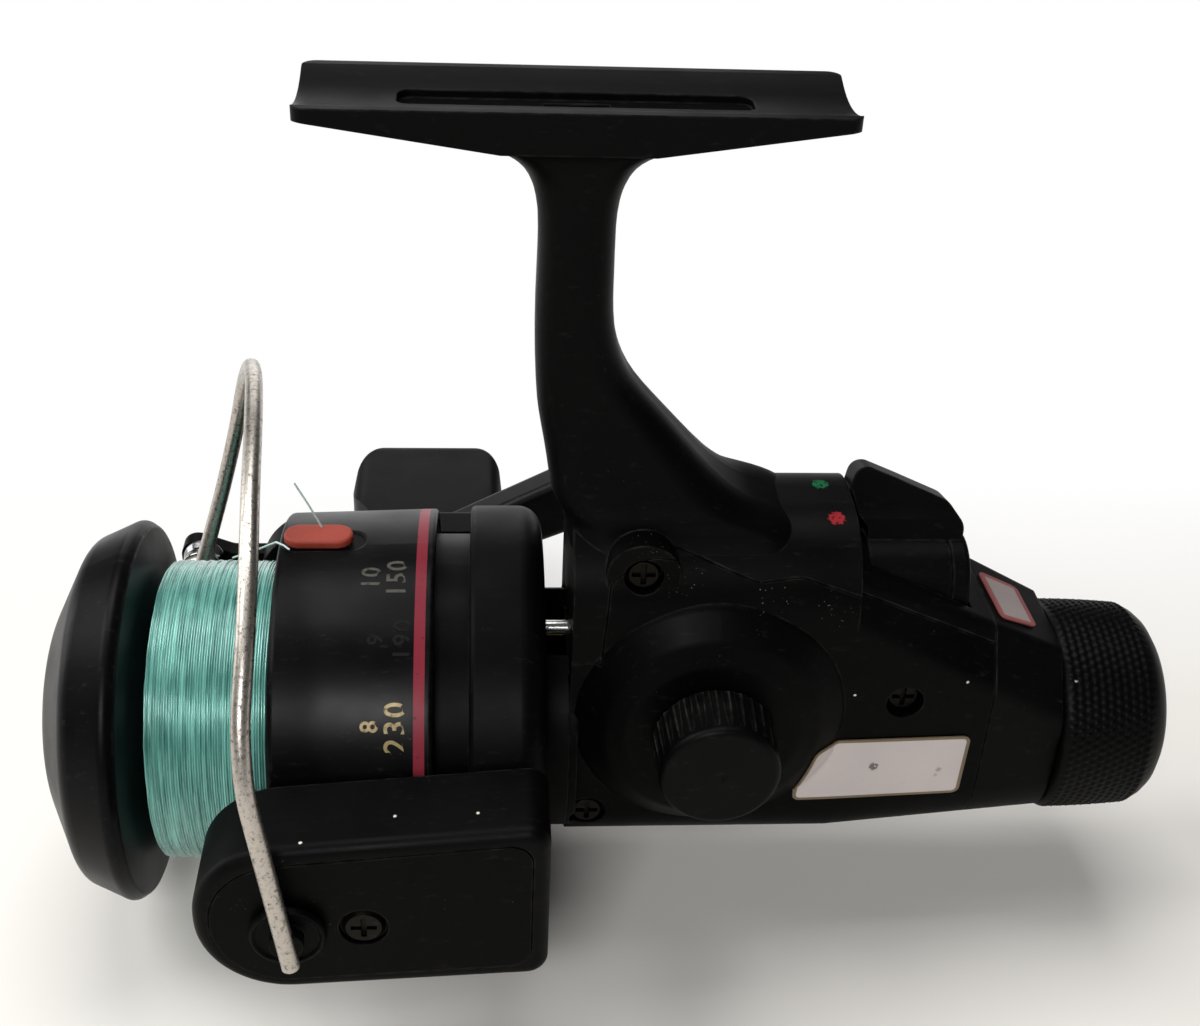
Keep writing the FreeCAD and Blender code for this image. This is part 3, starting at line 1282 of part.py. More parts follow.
def build_drag():
    """Drag stack in the tail, and the knob that presses it."""
    start = size.case_seam_x + 1.2 + 0.3
    radius = size.drag_cavity_radius
    thickness, sleeve = size.drag_washer, size.drag_sleeve_radius
    step = thickness + 0.3
    rims = {"eared": (radius - size.fit_gap, sleeve + 0.8), "keyed": (radius - 0.5, sleeve + size.fit_gap)}
    fixed, turning = [], []
    for i in range(DRAG_PAIRS):
        low = start + step * (2 * i) - 0.3
        fixed.append(ring(f"eared_washer_{i}", "X", *rims["eared"], low, low + thickness, on_axis))
        low = low + step
        turning.append(ring(f"keyed_washer_{i}", "X", *rims["keyed"], low, low + thickness, on_axis))
    named(group("eared_washers", fixed), "drag_washers_eared")
    named(group("keyed_washers", turning), "drag_washers_keyed")
    stack_end = start + step * (2 * DRAG_PAIRS)
    named(ring("drag_sleeve_ring", "X", sleeve, bore_radius, start - 0.2, stack_end + 0.5, on_axis),
          "drag_sleeve")
    hub, nut_low = size.drag_hub_radius, stack_end + 2.1
    named(ring("drag_nut_ring", "X", radius - size.clear_gap, hub + size.running_gap, nut_low, nut_low + 2.6,
               on_axis), "drag_nut")
    spring_low, spring_high = stack_end - 0.25, nut_low - 0.05
    spring_middle = (spring_low + spring_high) / 2
    rim, bore = radius - 0.5, hub + 0.5
    named(turned("drag_spring_discs", "X", [
        (spring_low, bore), (spring_low, bore + 0.8), (spring_middle - 0.2, rim), (spring_middle + 0.2, rim),
        (spring_high, bore + 0.8), (spring_high, bore), (spring_middle, rim - 0.6)], on_axis), "drag_spring")
    front, rear, outside = size.tail_end + size.clear_gap, size.drag_knob_rear, size.knob_radius
    rim_bore, floor = radius + 2, size.tail_end + 4
    hub_end, shaft_room = stack_end + 1.8, sleeve + 0.8
    named(turned("drag_knob_turned", "X", [
        (front, rim_bore), (front, outside - 0.3, 0.5), (front + 2, outside, 1),
        (rear - 7, outside - 0.8, 2.5), (rear - 1.5, 9, 6), (rear, 0), (rear - 2.5, 0),
        (rear - 2.5, shaft_room), (hub_end, shaft_room),
        (hub_end, hub), (floor, hub), (floor, rim_bore)], on_axis), "drag_knob")


# ---------------------------------------------------------------- build, test and write

def check_and_write():
    """Refuse a failed object or a broken solid, then write each piece to its own file."""
    document.recompute()
    failed = [item.Label for item in document.Objects if {"Invalid", "Error"} & set(item.State)]
    broken = [label for label, item in nodes.items()
              if item.Shape.isNull() or not item.Shape.isValid() or not item.Shape.Solids]
    if failed or broken:
        raise RuntimeError(f"failed objects: {failed}; broken solids: {broken}")
    os.makedirs("parts", exist_ok=True)
    for label, item in nodes.items():
        item.Shape.exportStep(f"parts/{label}.step")
        print(f"{label}: {len(item.Shape.Solids)} solid(s), {item.Shape.Volume:.1f} mm3")


build_case()
build_screws()
build_drive()
build_antireverse()
build_rotor()
build_bail()
build_spool()
build_handle()
build_drag()
check_and_write()
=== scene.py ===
"""Looks of a small fixed-spool fishing reel with a rear drag.

Lengths are in metres unless a name ends in _mm. +Z points up out of the rod foot, +X to the drag
knob, and the crank is on the +Y side. The spool, rotor and drag share one axis along X.
"""

import json
import logging
import math
from dataclasses import dataclass
from enum import Enum
from typing import Iterable, Sequence

import bpy
from mathutils import Matrix, Vector

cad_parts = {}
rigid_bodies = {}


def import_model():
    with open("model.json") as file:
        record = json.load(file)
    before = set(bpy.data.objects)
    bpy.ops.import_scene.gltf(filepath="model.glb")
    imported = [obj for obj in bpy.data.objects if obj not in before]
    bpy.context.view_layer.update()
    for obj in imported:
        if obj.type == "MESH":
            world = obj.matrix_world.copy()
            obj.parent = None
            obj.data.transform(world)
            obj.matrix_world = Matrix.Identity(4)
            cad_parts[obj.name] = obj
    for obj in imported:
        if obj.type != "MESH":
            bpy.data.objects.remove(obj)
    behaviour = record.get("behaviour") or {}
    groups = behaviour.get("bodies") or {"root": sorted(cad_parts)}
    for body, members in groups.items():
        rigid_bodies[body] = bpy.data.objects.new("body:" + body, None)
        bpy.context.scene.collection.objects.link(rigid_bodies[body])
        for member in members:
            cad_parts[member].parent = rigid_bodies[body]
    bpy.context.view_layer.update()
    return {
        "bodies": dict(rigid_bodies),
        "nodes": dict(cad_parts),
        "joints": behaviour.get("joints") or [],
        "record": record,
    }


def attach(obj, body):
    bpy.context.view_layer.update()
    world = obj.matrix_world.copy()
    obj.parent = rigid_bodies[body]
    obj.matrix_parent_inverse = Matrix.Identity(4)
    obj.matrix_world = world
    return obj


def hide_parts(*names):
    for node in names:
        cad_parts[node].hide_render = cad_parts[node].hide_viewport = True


log = logging.getLogger("reel")
MM = 0.001
AXIS_Z = -83 * MM
RUBBED = "#7c7872"
# Edge colour: partly rubbed wear, partly a painted highlight along every edge.
EDGE_WEAR_AND_HIGHLIGHT = "#4a4845"
DUST = "#8d867a"
CRUMB = "#d8d3c6"
CRUMB_MM, CRUMB_FADE_MM = 0.24, 0.14
DUST_FADE = 0.45
Point = Sequence[float]
Tree = bpy.types.NodeTree
Node = bpy.types.Node
Socket = bpy.types.NodeSocket


def linear(code: str) -> tuple[float, float, float, float]:
    """Turn an sRGB hex colour into the linear values that shaders use.

    Args:
        code: six hex digits after a hash sign.

    Returns:
        Linear red, green, blue and an alpha of 1.
    """
    parts = [int(code[i:i + 2], 16) / 255 for i in (1, 3, 5)]
    red, green, blue = (p / 12.92 if p <= 0.04045 else ((p + 0.055) / 1.055) ** 2.4 for p in parts)
    return red, green, blue, 1.0


def add_node(tree: Tree, kind: str, settings: dict | None = None, links: dict | None = None) -> Node:
    """Add one shader node with its settings and links.

    Args:
        tree: the material's node tree.
        kind: the node's type, without the leading ShaderNode.
        settings: values by socket name or number, or by the node's own attribute.
        links: output sockets, or nodes whose first output is meant, by input name or number.

    Returns:
        The new node.
    """
    node = tree.nodes.new(f"ShaderNode{kind}")
    for key, value in (settings or {}).items():
        if isinstance(key, str) and hasattr(node, key):
            setattr(node, key, value)
        else:
            node.inputs[key].default_value = value
    for key, source in (links or {}).items():
        output = source.outputs[0] if isinstance(source, Node) else source
        tree.links.new(output, node.inputs[key])
    return node


# ------------------------------------------------------------------ finishes


@dataclass(frozen=True)
class Finish:
    """What every finish of the reel shares.

    The name says what the real material is. Grain, scuffs, dust, crumbs and lighter edges, partly rubbed wear
    and partly a painted highlight, are laid over the base colour from object coordinates, at sizes given in
    millimetres. Each dusty place is a centre and a radius, and each speck is the centre of one crumb.
    """

    name: str
    colour: str
    roughness: float
    metallic: float = 0.0
    gloss: float = 0.5
    coat: float = 0.0
    grain_mm: float = 0.35
    grain_height_mm: float = 0.012
    mottle: float = 0.12
    dust: float = 0.0
    dusty: tuple = ()
    specks: tuple = ()
    scuff: float = 0.0
    edge_mm: float = 0.35
    worn_and_lit_edges: float = 0.0

    def build(self) -> bpy.types.Material:
        """Make the material: its surface, then what time has laid on it with a painted highlight on its
        edges, then its relief.
        """
        material = bpy.data.materials.new(self.name)
        material.use_nodes = True
        tree = material.node_tree
        tree.nodes.clear()
        place = add_node(tree, "TexCoord")
        colour, roughness = self.surface(tree, place)
        if self.scuff:
            colour, roughness = self.scuffed(tree, place, colour, roughness)
        if self.dust:
            colour = self.dusted(tree, place, colour)
        for centre in self.specks:
            crumb = self.within(tree, place, centre, CRUMB_MM, CRUMB_FADE_MM)
            mixed = add_node(tree, "MixRGB", {"Color2": linear(CRUMB)}, {"Fac": crumb, "Color1": colour})
            colour = mixed.outputs[0]
        grain_scale = 1 / (self.grain_mm * MM)
        grain = add_node(tree, "TexNoise", {"Scale": grain_scale, "Detail": 3.0, "Roughness": 0.6},
                         {"Vector": place.outputs["Object"]})
        soft_edges = add_node(tree, "Bevel", {"samples": 4, "Radius": self.edge_mm * MM})
        # Lighter edges: rubbed wear and a painted highlight along every edge, concave seams included.
        if self.worn_and_lit_edges:
            colour = self.rubbed_and_lit_edges(tree, place, colour, soft_edges)
        relief = add_node(tree, "Bump", {"Strength": 0.6, "Distance": self.grain_height_mm * MM},
                          {"Height": grain.outputs[0], "Normal": soft_edges})
        body = {"Metallic": self.metallic, "Specular IOR Level": self.gloss, "Coat Weight": self.coat,
                "Coat Roughness": 0.2}
        shader = add_node(tree, "BsdfPrincipled", body,
                          {"Base Color": colour, "Roughness": roughness, "Normal": relief})
        add_node(tree, "OutputMaterial", None, {"Surface": shader})
        return material

    def rubbed_and_lit_edges(self, tree: Tree, place: Node, colour: Socket, soft_edges: Node) -> Socket:
        """Lighten the sharp edges: partly the wear that hands and pockets rub, partly a painted highlight
        along every edge.

        Args:
            tree: the material's node tree.
            place: the texture coordinate node.
            colour: the colour so far.
            soft_edges: the node that rounds the normals near an edge.

        Returns:
            The colour socket.
        """
        shape = add_node(tree, "NewGeometry")
        turned = add_node(tree, "VectorMath", {"operation": "DOT_PRODUCT"},
                          {0: soft_edges, 1: shape.outputs["Normal"]})
        rim = add_node(tree, "MapRange",
                       {"From Min": 0.99, "From Max": 0.93, "To Min": 0.0, "To Max": self.worn_and_lit_edges},
                       {"Value": turned.outputs["Value"]})
        rubs = add_node(tree, "TexNoise", {"Scale": 1 / (1.8 * MM), "Detail": 4.0},
                        {"Vector": place.outputs["Object"]})
        patchy = add_node(tree, "MapRange",
                          {"From Min": 0.42, "From Max": 0.62, "To Min": 0.15, "To Max": 1.0},
                          {"Value": rubs})
        amount = add_node(tree, "Math", {"operation": "MULTIPLY"}, {0: rim, 1: patchy})
        # Mix in the pale edge colour: rubbed wear and a painted edge highlight.
        mixed = add_node(tree, "MixRGB", {"Color2": linear(EDGE_WEAR_AND_HIGHLIGHT)}, {"Fac": amount, "Color1": colour})
        return mixed.outputs[0]

    def surface(self, tree: Tree, place: Node) -> tuple[Socket, Socket]:
        """Lay down the base colour with slow mottling.

        Args:
            tree: the material's node tree.
            place: the texture coordinate node.

        Returns:
            The colour socket and the roughness socket.
        """
        slow = add_node(tree, "TexNoise", {"Scale": 1 / (9 * MM), "Detail": 4.0},
                        {"Vector": place.outputs["Object"]})
        darker, lighter = 1 - self.mottle, 1 + self.mottle
        tone = add_node(tree, "MapRange",
                        {"From Min": 0.3, "From Max": 0.7, "To Min": darker, "To Max": lighter},
                        {"Value": slow})
        base = add_node(tree, "VectorMath", {"operation": "SCALE", 0: linear(self.colour)[:3]},
                        {"Scale": tone})
        smoother, rougher = self.roughness - 0.05, self.roughness + 0.07
        shine = add_node(tree, "MapRange",
                         {"From Min": 0.3, "From Max": 0.7, "To Min": smoother, "To Max": rougher},
                         {"Value": slow})
        return base.outputs[0], shine.outputs[0]

    def scuffed(self, tree: Tree, place: Node, colour: Socket, roughness: Socket) -> tuple[Socket, Socket]:
        """Rub pale streaks into the surface, rougher than what is round them.

        Args:
            tree: the material's node tree.
            place: the texture coordinate node.
            colour: the colour so far.
            roughness: the roughness so far.

        Returns:
            The colour socket and the roughness socket.
        """
        stretched = add_node(tree, "Mapping", {"Rotation": (0.3, 0.5, 0.9), "Scale": (1.0, 5.0, 2.4)},
                             {"Vector": place.outputs["Object"]})
        streaks = add_node(tree, "TexNoise", {"Scale": 1 / (2.6 * MM), "Detail": 6.0, "Roughness": 0.75},
                           {"Vector": stretched})
        rubbed = add_node(tree, "MapRange",
                          {"From Min": 0.58, "From Max": 0.78, "To Min": 0.0, "To Max": self.scuff},
                          {"Value": streaks})
        pale = add_node(tree, "MixRGB", {"Color2": linear(RUBBED)}, {"Fac": rubbed, "Color1": colour})
        rough = add_node(tree, "Math", {"operation": "MULTIPLY_ADD", 1: 0.35}, {0: rubbed, 2: roughness})
        return pale.outputs[0], rough.outputs[0]

    def dusted(self, tree: Tree, place: Node, colour: Socket) -> Socket:
        """Scatter specks of dust: a few all over, and more in the dusty places.

        Args:
            tree: the material's node tree.
            place: the texture coordinate node.
            colour: the colour so far.

        Returns:
            The colour socket.
        """
        cells = add_node(tree, "TexVoronoi", {"Scale": 1 / (0.6 * MM), "Randomness": 1.0},
                         {"Vector": place.outputs["Object"]})
        speck = add_node(tree, "MapRange", {"From Min": 0.17, "From Max": 0.05, "To Min": 0.0, "To Max": 0.8},
                         {"Value": cells.outputs["Distance"]})
        where = add_node(tree, "TexNoise", {"Scale": 1 / (5 * MM), "Detail": 3.0},
                         {"Vector": place.outputs["Object"]})
        patchy = add_node(tree, "MapRange",
                          {"From Min": 0.64, "From Max": 0.76, "To Min": 0.0, "To Max": self.dust},
                          {"Value": where})
        thick = patchy.outputs[0]
        for centre, radius_mm in self.dusty:
            near = self.within(tree, place, centre, radius_mm, DUST_FADE * radius_mm)
            pile = add_node(tree, "Math", {"operation": "MULTIPLY"}, {0: near, 1: where})
            thick = add_node(tree, "Math", {"operation": "MAXIMUM"}, {0: pile, 1: thick}).outputs[0]
        amount = add_node(tree, "Math", {"operation": "MULTIPLY"}, {0: speck, 1: thick})
        mixed = add_node(tree, "MixRGB", {"Color2": linear(DUST)}, {"Fac": amount, "Color1": colour})
        return mixed.outputs[0]

    @staticmethod
    def within(tree: Tree, place: Node, centre: Point, radius_mm: float, fade_mm: float) -> Node:
        """Mark a round patch, with an edge that wanders a little.

        Args:
            tree: the material's node tree.
            place: the texture coordinate node.
            centre: the patch's centre in millimetres.
            radius_mm: its radius.
            fade_mm: how wide its edge is.

        Returns:
            A node that gives 1 inside and 0 outside.
        """
        ragged = add_node(tree, "TexNoise", {"Scale": 1 / (0.45 * MM), "Detail": 5.0},
                          {"Vector": place.outputs["Object"]})
        apart = add_node(tree, "VectorMath", {"operation": "DISTANCE", 1: [c * MM for c in centre]},
                         {0: place.outputs["Object"]})
        wander = add_node(tree, "Math", {"operation": "MULTIPLY_ADD", 1: radius_mm * MM},
                          {0: ragged, 2: apart.outputs["Value"]})
        # The noise adds half a radius on average, so the edge lies half a radius farther out.
        edge = radius_mm * 1.5 * MM
        return add_node(tree, "MapRange",
                        {"From Min": edge, "From Max": edge - fade_mm * MM, "To Min": 0.0, "To Max": 1.0},
                        {"Value": wander})


@dataclass(frozen=True)
class BandedPlastic(Finish):
    """Moulded plastic with one printed band round the spool's skirt."""

    band_colour: str = "#7c2834"
    band_x_mm: float = -17.1
    band_width_mm: float = 1.35
    band_fade_mm: float = 0.06

    def surface(self, tree: Tree, place: Node) -> tuple[Socket, Socket]:
        """Lay the band over the plain base, worn a little along its length."""
        colour, roughness = super().surface(tree, place)
        split = add_node(tree, "SeparateXYZ", None, {0: place.outputs["Object"]})
        offset = add_node(tree, "Math", {"operation": "ADD", 1: -self.band_x_mm * MM},
                          {0: split.outputs["X"]})
        away = add_node(tree, "Math", {"operation": "ABSOLUTE"}, {0: offset})
        half = self.band_width_mm * MM / 2
        full = half - self.band_fade_mm * MM
        inside = add_node(tree, "MapRange",
                          {"From Min": half, "From Max": full, "To Min": 0.0, "To Max": 0.92},
                          {"Value": away})
        worn = add_node(tree, "TexNoise", {"Scale": 1 / (0.8 * MM), "Detail": 5.0},
                        {"Vector": place.outputs["Object"]})
        kept = add_node(tree, "MapRange", {"From Min": 0.28, "From Max": 0.36, "To Min": 0.35, "To Max": 1.0},
                        {"Value": worn})
        amount = add_node(tree, "Math", {"operation": "MULTIPLY"}, {0: inside, 1: kept})
        painted = add_node(tree, "MixRGB", {"Color2": linear(self.band_colour)},
                           {"Fac": amount, "Color1": colour})
        return painted.outputs[0], roughness


@dataclass(frozen=True)
class SpottedPlastic(Finish):
    """Moulded plastic with small round paint marks, worn at their edges."""

    marks: tuple = ()
    mark_fade_mm: float = 0.2

    def surface(self, tree: Tree, place: Node) -> tuple[Socket, Socket]:
        """Lay each paint mark over the plain base: its centre and radius in millimetres, and its colour."""
        colour, roughness = super().surface(tree, place)
        chips = add_node(tree, "TexNoise", {"Scale": 1 / (0.6 * MM), "Detail": 4.0, "Roughness": 0.7},
                         {"Vector": place.outputs["Object"]})
        kept = add_node(tree, "MapRange", {"From Min": 0.40, "From Max": 0.47, "To Min": 0.1, "To Max": 0.9},
                        {"Value": chips})
        for centre, radius_mm, code in self.marks:
            inside = self.within(tree, place, centre, radius_mm, self.mark_fade_mm)
            amount = add_node(tree, "Math", {"operation": "MULTIPLY"}, {0: inside, 1: kept})
            painted = add_node(tree, "MixRGB", {"Color2": linear(code)}, {"Fac": amount, "Color1": colour})
            colour = painted.outputs[0]
        return colour, roughness


@dataclass(frozen=True)
class PittedMetal(Finish):
    """Bare wire or foil, bright where it is whole and dark where it is pitted or rubbed away."""

    pit_colour: str = "#3d3833"

    def surface(self, tree: Tree, place: Node) -> tuple[Socket, Socket]:
        """Mix dark pits into the bright metal."""
        pits = add_node(tree, "TexNoise", {"Scale": 1 / (0.55 * MM), "Detail": 6.0, "Roughness": 0.7},
                        {"Vector": place.outputs["Object"]})
        pitted = add_node(tree, "MapRange",
                          {"From Min": 0.53, "From Max": 0.66, "To Min": 0.0, "To Max": 0.85},
                          {"Value": pits})
        metal = add_node(tree, "MixRGB", {"Color1": linear(self.colour), "Color2": linear(self.pit_colour)},
                         {"Fac": pitted})
        smoother, rougher = self.roughness - 0.06, self.roughness + 0.22
        shine = add_node(tree, "MapRange",
                         {"From Min": 0.4, "From Max": 0.7, "To Min": smoother, "To Max": rougher},
                         {"Value": pits})
        return metal.outputs[0], shine.outputs[0]


@dataclass(frozen=True)
class Monofilament(Finish):
    """Nylon line in close turns: each turn is a glossy thread with its own slight tone."""

    turn_mm: float = 0.3
    turns_blurred: float = 1.3
    shade_colour: str = "#35746a"

    def surface(self, tree: Tree, place: Node) -> tuple[Socket, Socket]:
        """Vary the tone from turn to turn along the spool's axis, and fade it slowly round it."""
        stretched = add_node(tree, "Mapping", {"Scale": (1.0, 0.05, 0.05)},
                             {"Vector": place.outputs["Object"]})
        turn_scale = 1 / (self.turn_mm * MM * self.turns_blurred)
        turns = add_node(tree, "TexNoise", {"Scale": turn_scale, "Detail": 2.0}, {"Vector": stretched})
        slow = add_node(tree, "TexNoise", {"Scale": 1 / (5 * MM), "Detail": 3.0},
                        {"Vector": place.outputs["Object"]})
        both = add_node(tree, "Math", {"operation": "MULTIPLY_ADD", 1: 0.35}, {0: slow, 2: turns})
        tone = add_node(tree, "MapRange", {"From Min": 0.42, "From Max": 0.92, "To Min": 0.0, "To Max": 1.0},
                        {"Value": both})
        colour = add_node(tree, "MixRGB",
                          {"Color1": linear(self.shade_colour), "Color2": linear(self.colour)}, {"Fac": tone})
        rougher = self.roughness + 0.12
        shine = add_node(tree, "MapRange",
                         {"From Min": 0.3, "From Max": 0.7, "To Min": self.roughness, "To Max": rougher},
                         {"Value": turns})
        return colour.outputs[0], shine.outputs[0]


class Slot(Enum):
    """The record's material slots, each with its finish."""

    # Glass-filled nylon, injection moulded: near-black with a soft satin and a fine grain. Dust keeps to the
    # seams that hands don't reach.
    # The edge lightening set below is partly rubbed wear and partly a painted edge highlight.
    BODY = ("body_black", SpottedPlastic(
        "moulded_nylon_body", "#040404", 0.44, gloss=0.05, dust=0.35, scuff=0.05, worn_and_lit_edges=0.3,
        dusty=(((37, -9, -53), 2.6), ((9.5, -10, -50.5), 2.2), ((0, -2, -2.4), 4.5), ((2, -8, -58), 3.2)),
        specks=((-19.28, -33.7, -70.3), (-10.22, -34.2, -69.5), (-29.3, -36.7, -71.2)),
        marks=(((31.8, 2.4, -49.9), 1.1, "#14613c"), ((32.6, -4.7, -50.3), 1.1, "#95242a"))))
    COVER = ("cover_black", Finish(
        "moulded_nylon_cover", "#030303", 0.42, gloss=0.04, dust=0.4, scuff=0.05, worn_and_lit_edges=0.2,
        dusty=(((24, -11.6, -56.3), 3.4), ((14, -11.2, -54.6), 2.8), ((32, -12, -58.5), 3.0)),
        specks=((36.06, -12.5, -71.3), (50.05, -12.2, -69.6))))
    SPOOL = ("spool_black", BandedPlastic(
        "moulded_abs_spool", "#040405", 0.34, gloss=0.08, dust=0.35, scuff=0.09, worn_and_lit_edges=0.5,
        grain_height_mm=0.006))
    KNOB = ("knob_black", Finish(
        "moulded_abs_knob", "#040404", 0.4, gloss=0.06, dust=0.3, scuff=0.06, worn_and_lit_edges=0.5,
        specks=((65.4, -8.8, -72.3),)))
    WIRE = ("wire_steel", PittedMetal(
        "drawn_steel_wire", "#b8b1a8", 0.33, metallic=1.0, grain_height_mm=0.02, edge_mm=0.1))
    SHAFT = ("shaft_steel", Finish(
        "ground_steel", "#b9b9b6", 0.24, metallic=1.0, grain_height_mm=0.003, mottle=0.06, edge_mm=0.15))
    SCREW = ("screw_steel", Finish(
        "blackened_steel_screw", "#1d1b18", 0.48, metallic=1.0, scuff=0.2, edge_mm=0.1))
    ZINC = ("gear_zinc", Finish(
        "die_cast_zinc", "#a3a19c", 0.42, metallic=1.0, grain_height_mm=0.01, edge_mm=0.1))
    BRASS = ("bearing_brass", Finish(
        "turned_brass", "#c39a52", 0.30, metallic=1.0, grain_height_mm=0.004, edge_mm=0.1))
    HANDLE = ("handle_metal", Finish(
        "enamelled_aluminium_crank", "#070708", 0.38, gloss=0.12, dust=0.2, scuff=0.08))
    LINE = ("line", Monofilament(
        "nylon_monofilament", "#7cc0b4", 0.22, metallic=0.3, gloss=1.0, coat=1.0, grain_height_mm=0.004,
        edge_mm=0.02))
    FELT = ("felt", Finish("oiled_wool_felt", "#8a8272", 0.9, grain_mm=0.2, grain_height_mm=0.03))
    ROLLER = ("roller_chrome", Finish(
        "chromed_brass_roller", "#8f8f90", 0.2, metallic=1.0, mottle=0.04, grain_height_mm=0.002,
        edge_mm=0.1))
    CLIP = ("clip_red", Finish(
        "moulded_red_clip", "#8b3527", 0.55, gloss=0.3, mottle=0.2, scuff=0.12, grain_mm=0.5,
        grain_height_mm=0.05))

    def __init__(self, slot: str, finish: Finish) -> None:
        """Keep the slot's name beside its finish."""
        self.slot = slot
        self.finish = finish

    def material(self) -> bpy.types.Material:
        """The slot's material, made when it is first asked for."""
        return bpy.data.materials.get(self.finish.name) or self.finish.build()


# Vinyl film with a thin pale face; the border is printed.
LABEL_FACE = SpottedPlastic(
    "printed_vinyl_face", "#bab1af", 0.5, mottle=0.05, scuff=0.2, edge_mm=0.05,
    marks=(((39.9, -12.4, -82.9), 0.75, "#4a4238"), ((40.9, -12.4, -82.4), 0.3, "#57504a"),
           ((48.5, -12.3, -83.7), 0.55, "#8f8684"), ((48.2, -12.3, -84.6), 0.4, "#968d8a")))
LABEL_EDGE = Finish("printed_vinyl_border", "#6a5a45", 0.5, mottle=0.2, edge_mm=0.05)
REAR_LABEL_FACE = Finish("printed_vinyl_rear_face", "#857b79", 0.5, mottle=0.12, scuff=0.3, edge_mm=0.05)
REAR_LABEL_EDGE = Finish("printed_vinyl_pink_border", "#7a3c3c", 0.5, mottle=0.2, edge_mm=0.05)
HOT_FOIL = PittedMetal("hot_foil_numbers", "#857349", 0.4, metallic=0.2, edge_mm=0.02, pit_colour="#0c0b0a")
WORN_FOIL = PittedMetal("worn_foil_numbers", "#4c4a44", 0.5, gloss=0.15, edge_mm=0.02, pit_colour="#0c0b0a")
FADED_FOIL = PittedMetal("faded_foil_numbers", "#121110", 0.5, gloss=0.1, edge_mm=0.02, pit_colour="#080808")
LOOSE_LINE = Finish("loose_nylon_line", "#b9cfc9", 0.25, gloss=0.7, mottle=0.05, edge_mm=0.02)


def made(finish: Finish) -> bpy.types.Material:
    """The material of a finish that is no slot's own."""
    return bpy.data.materials.get(finish.name) or finish.build()


# ------------------------------------------------------------------ modelling


class Bench:
    """The modelling operations that several sub-assemblies share."""

    @staticmethod
    def only(piece: bpy.types.Object) -> None:
        """Select one object and make it the active one."""
        bpy.ops.object.select_all(action="DESELECT")
        piece.select_set(True)
        bpy.context.view_layer.objects.active = piece

    @staticmethod
    def line(name: str, points: Sequence[Point]) -> bpy.types.Object:
        """Draw an open chain of edges by extruding one vertex from point to point.

        Args:
            name: the new object's name.
            points: where the vertices go.

        Returns:
            The object, left in edit mode.
        """
        bpy.ops.object.select_all(action="DESELECT")
        bpy.ops.mesh.primitive_plane_add(size=MM, location=points[0])
        piece = bpy.context.active_object
        piece.name = name
        bpy.ops.object.transform_apply(location=True, rotation=True, scale=True)
        bpy.ops.object.mode_set(mode="EDIT")
        bpy.ops.mesh.select_all(action="SELECT")
        bpy.ops.mesh.merge(type="CENTER")
        for before, after in zip(points, points[1:]):
            step = Vector(after) - Vector(before)
            bpy.ops.mesh.extrude_vertices_move(TRANSFORM_OT_translate={"value": step[:]})
        return piece

    @staticmethod
    def spun(name: str, points: Sequence[Point], steps: int) -> bpy.types.Object:
        """Spin a chain of edges a full turn about the reel's main axis.

        Args:
            name: the new object's name.
            points: the outline, in the plane y = 0.
            steps: how many faces go round.

        Returns:
            The closed object, in object mode.
        """
        piece = Bench.line(name, points)
        bpy.ops.mesh.select_all(action="SELECT")
        bpy.ops.mesh.spin(steps=steps, angle=2 * math.pi, center=(0, 0, AXIS_Z), axis=(1, 0, 0))
        bpy.ops.mesh.select_all(action="SELECT")
        bpy.ops.mesh.remove_doubles(threshold=1e-6)
        bpy.ops.mesh.normals_make_consistent(inside=False)
        bpy.ops.object.mode_set(mode="OBJECT")
        return piece

    @staticmethod
    def finish(piece: bpy.types.Object, material: bpy.types.Material, body: str, slot: str,
               smooth_deg: float = 35) -> bpy.types.Object:
        """Give a piece its material, soft shading and body.

        Args:
            piece: the finished mesh.
            material: what it is made of.
            body: the moving body that it rides on.
            slot: the record's material slot; not used.
            smooth_deg: edges sharper than this stay sharp.

        Returns:
            The same piece.
        """
        Bench.only(piece)
        bpy.ops.object.transform_apply(location=True, rotation=True, scale=True)
        bpy.ops.object.shade_smooth_by_angle(angle=math.radians(smooth_deg))
        piece.data.materials.clear()
        piece.data.materials.append(material)
        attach(piece, body)
        log.info("made %s with %d faces", piece.name, len(piece.data.polygons))
        return piece

    @staticmethod
    def around_axis(angle_deg: float, radius: float, x: float) -> Vector:
        """A point on a cylinder about the main axis; 0 degrees faces the near side and 90 faces up."""
        angle = math.radians(angle_deg)
        return Vector((x, -radius * math.cos(angle), AXIS_Z + radius * math.sin(angle)))


# ------------------------------------------------------------------ sub-assemblies


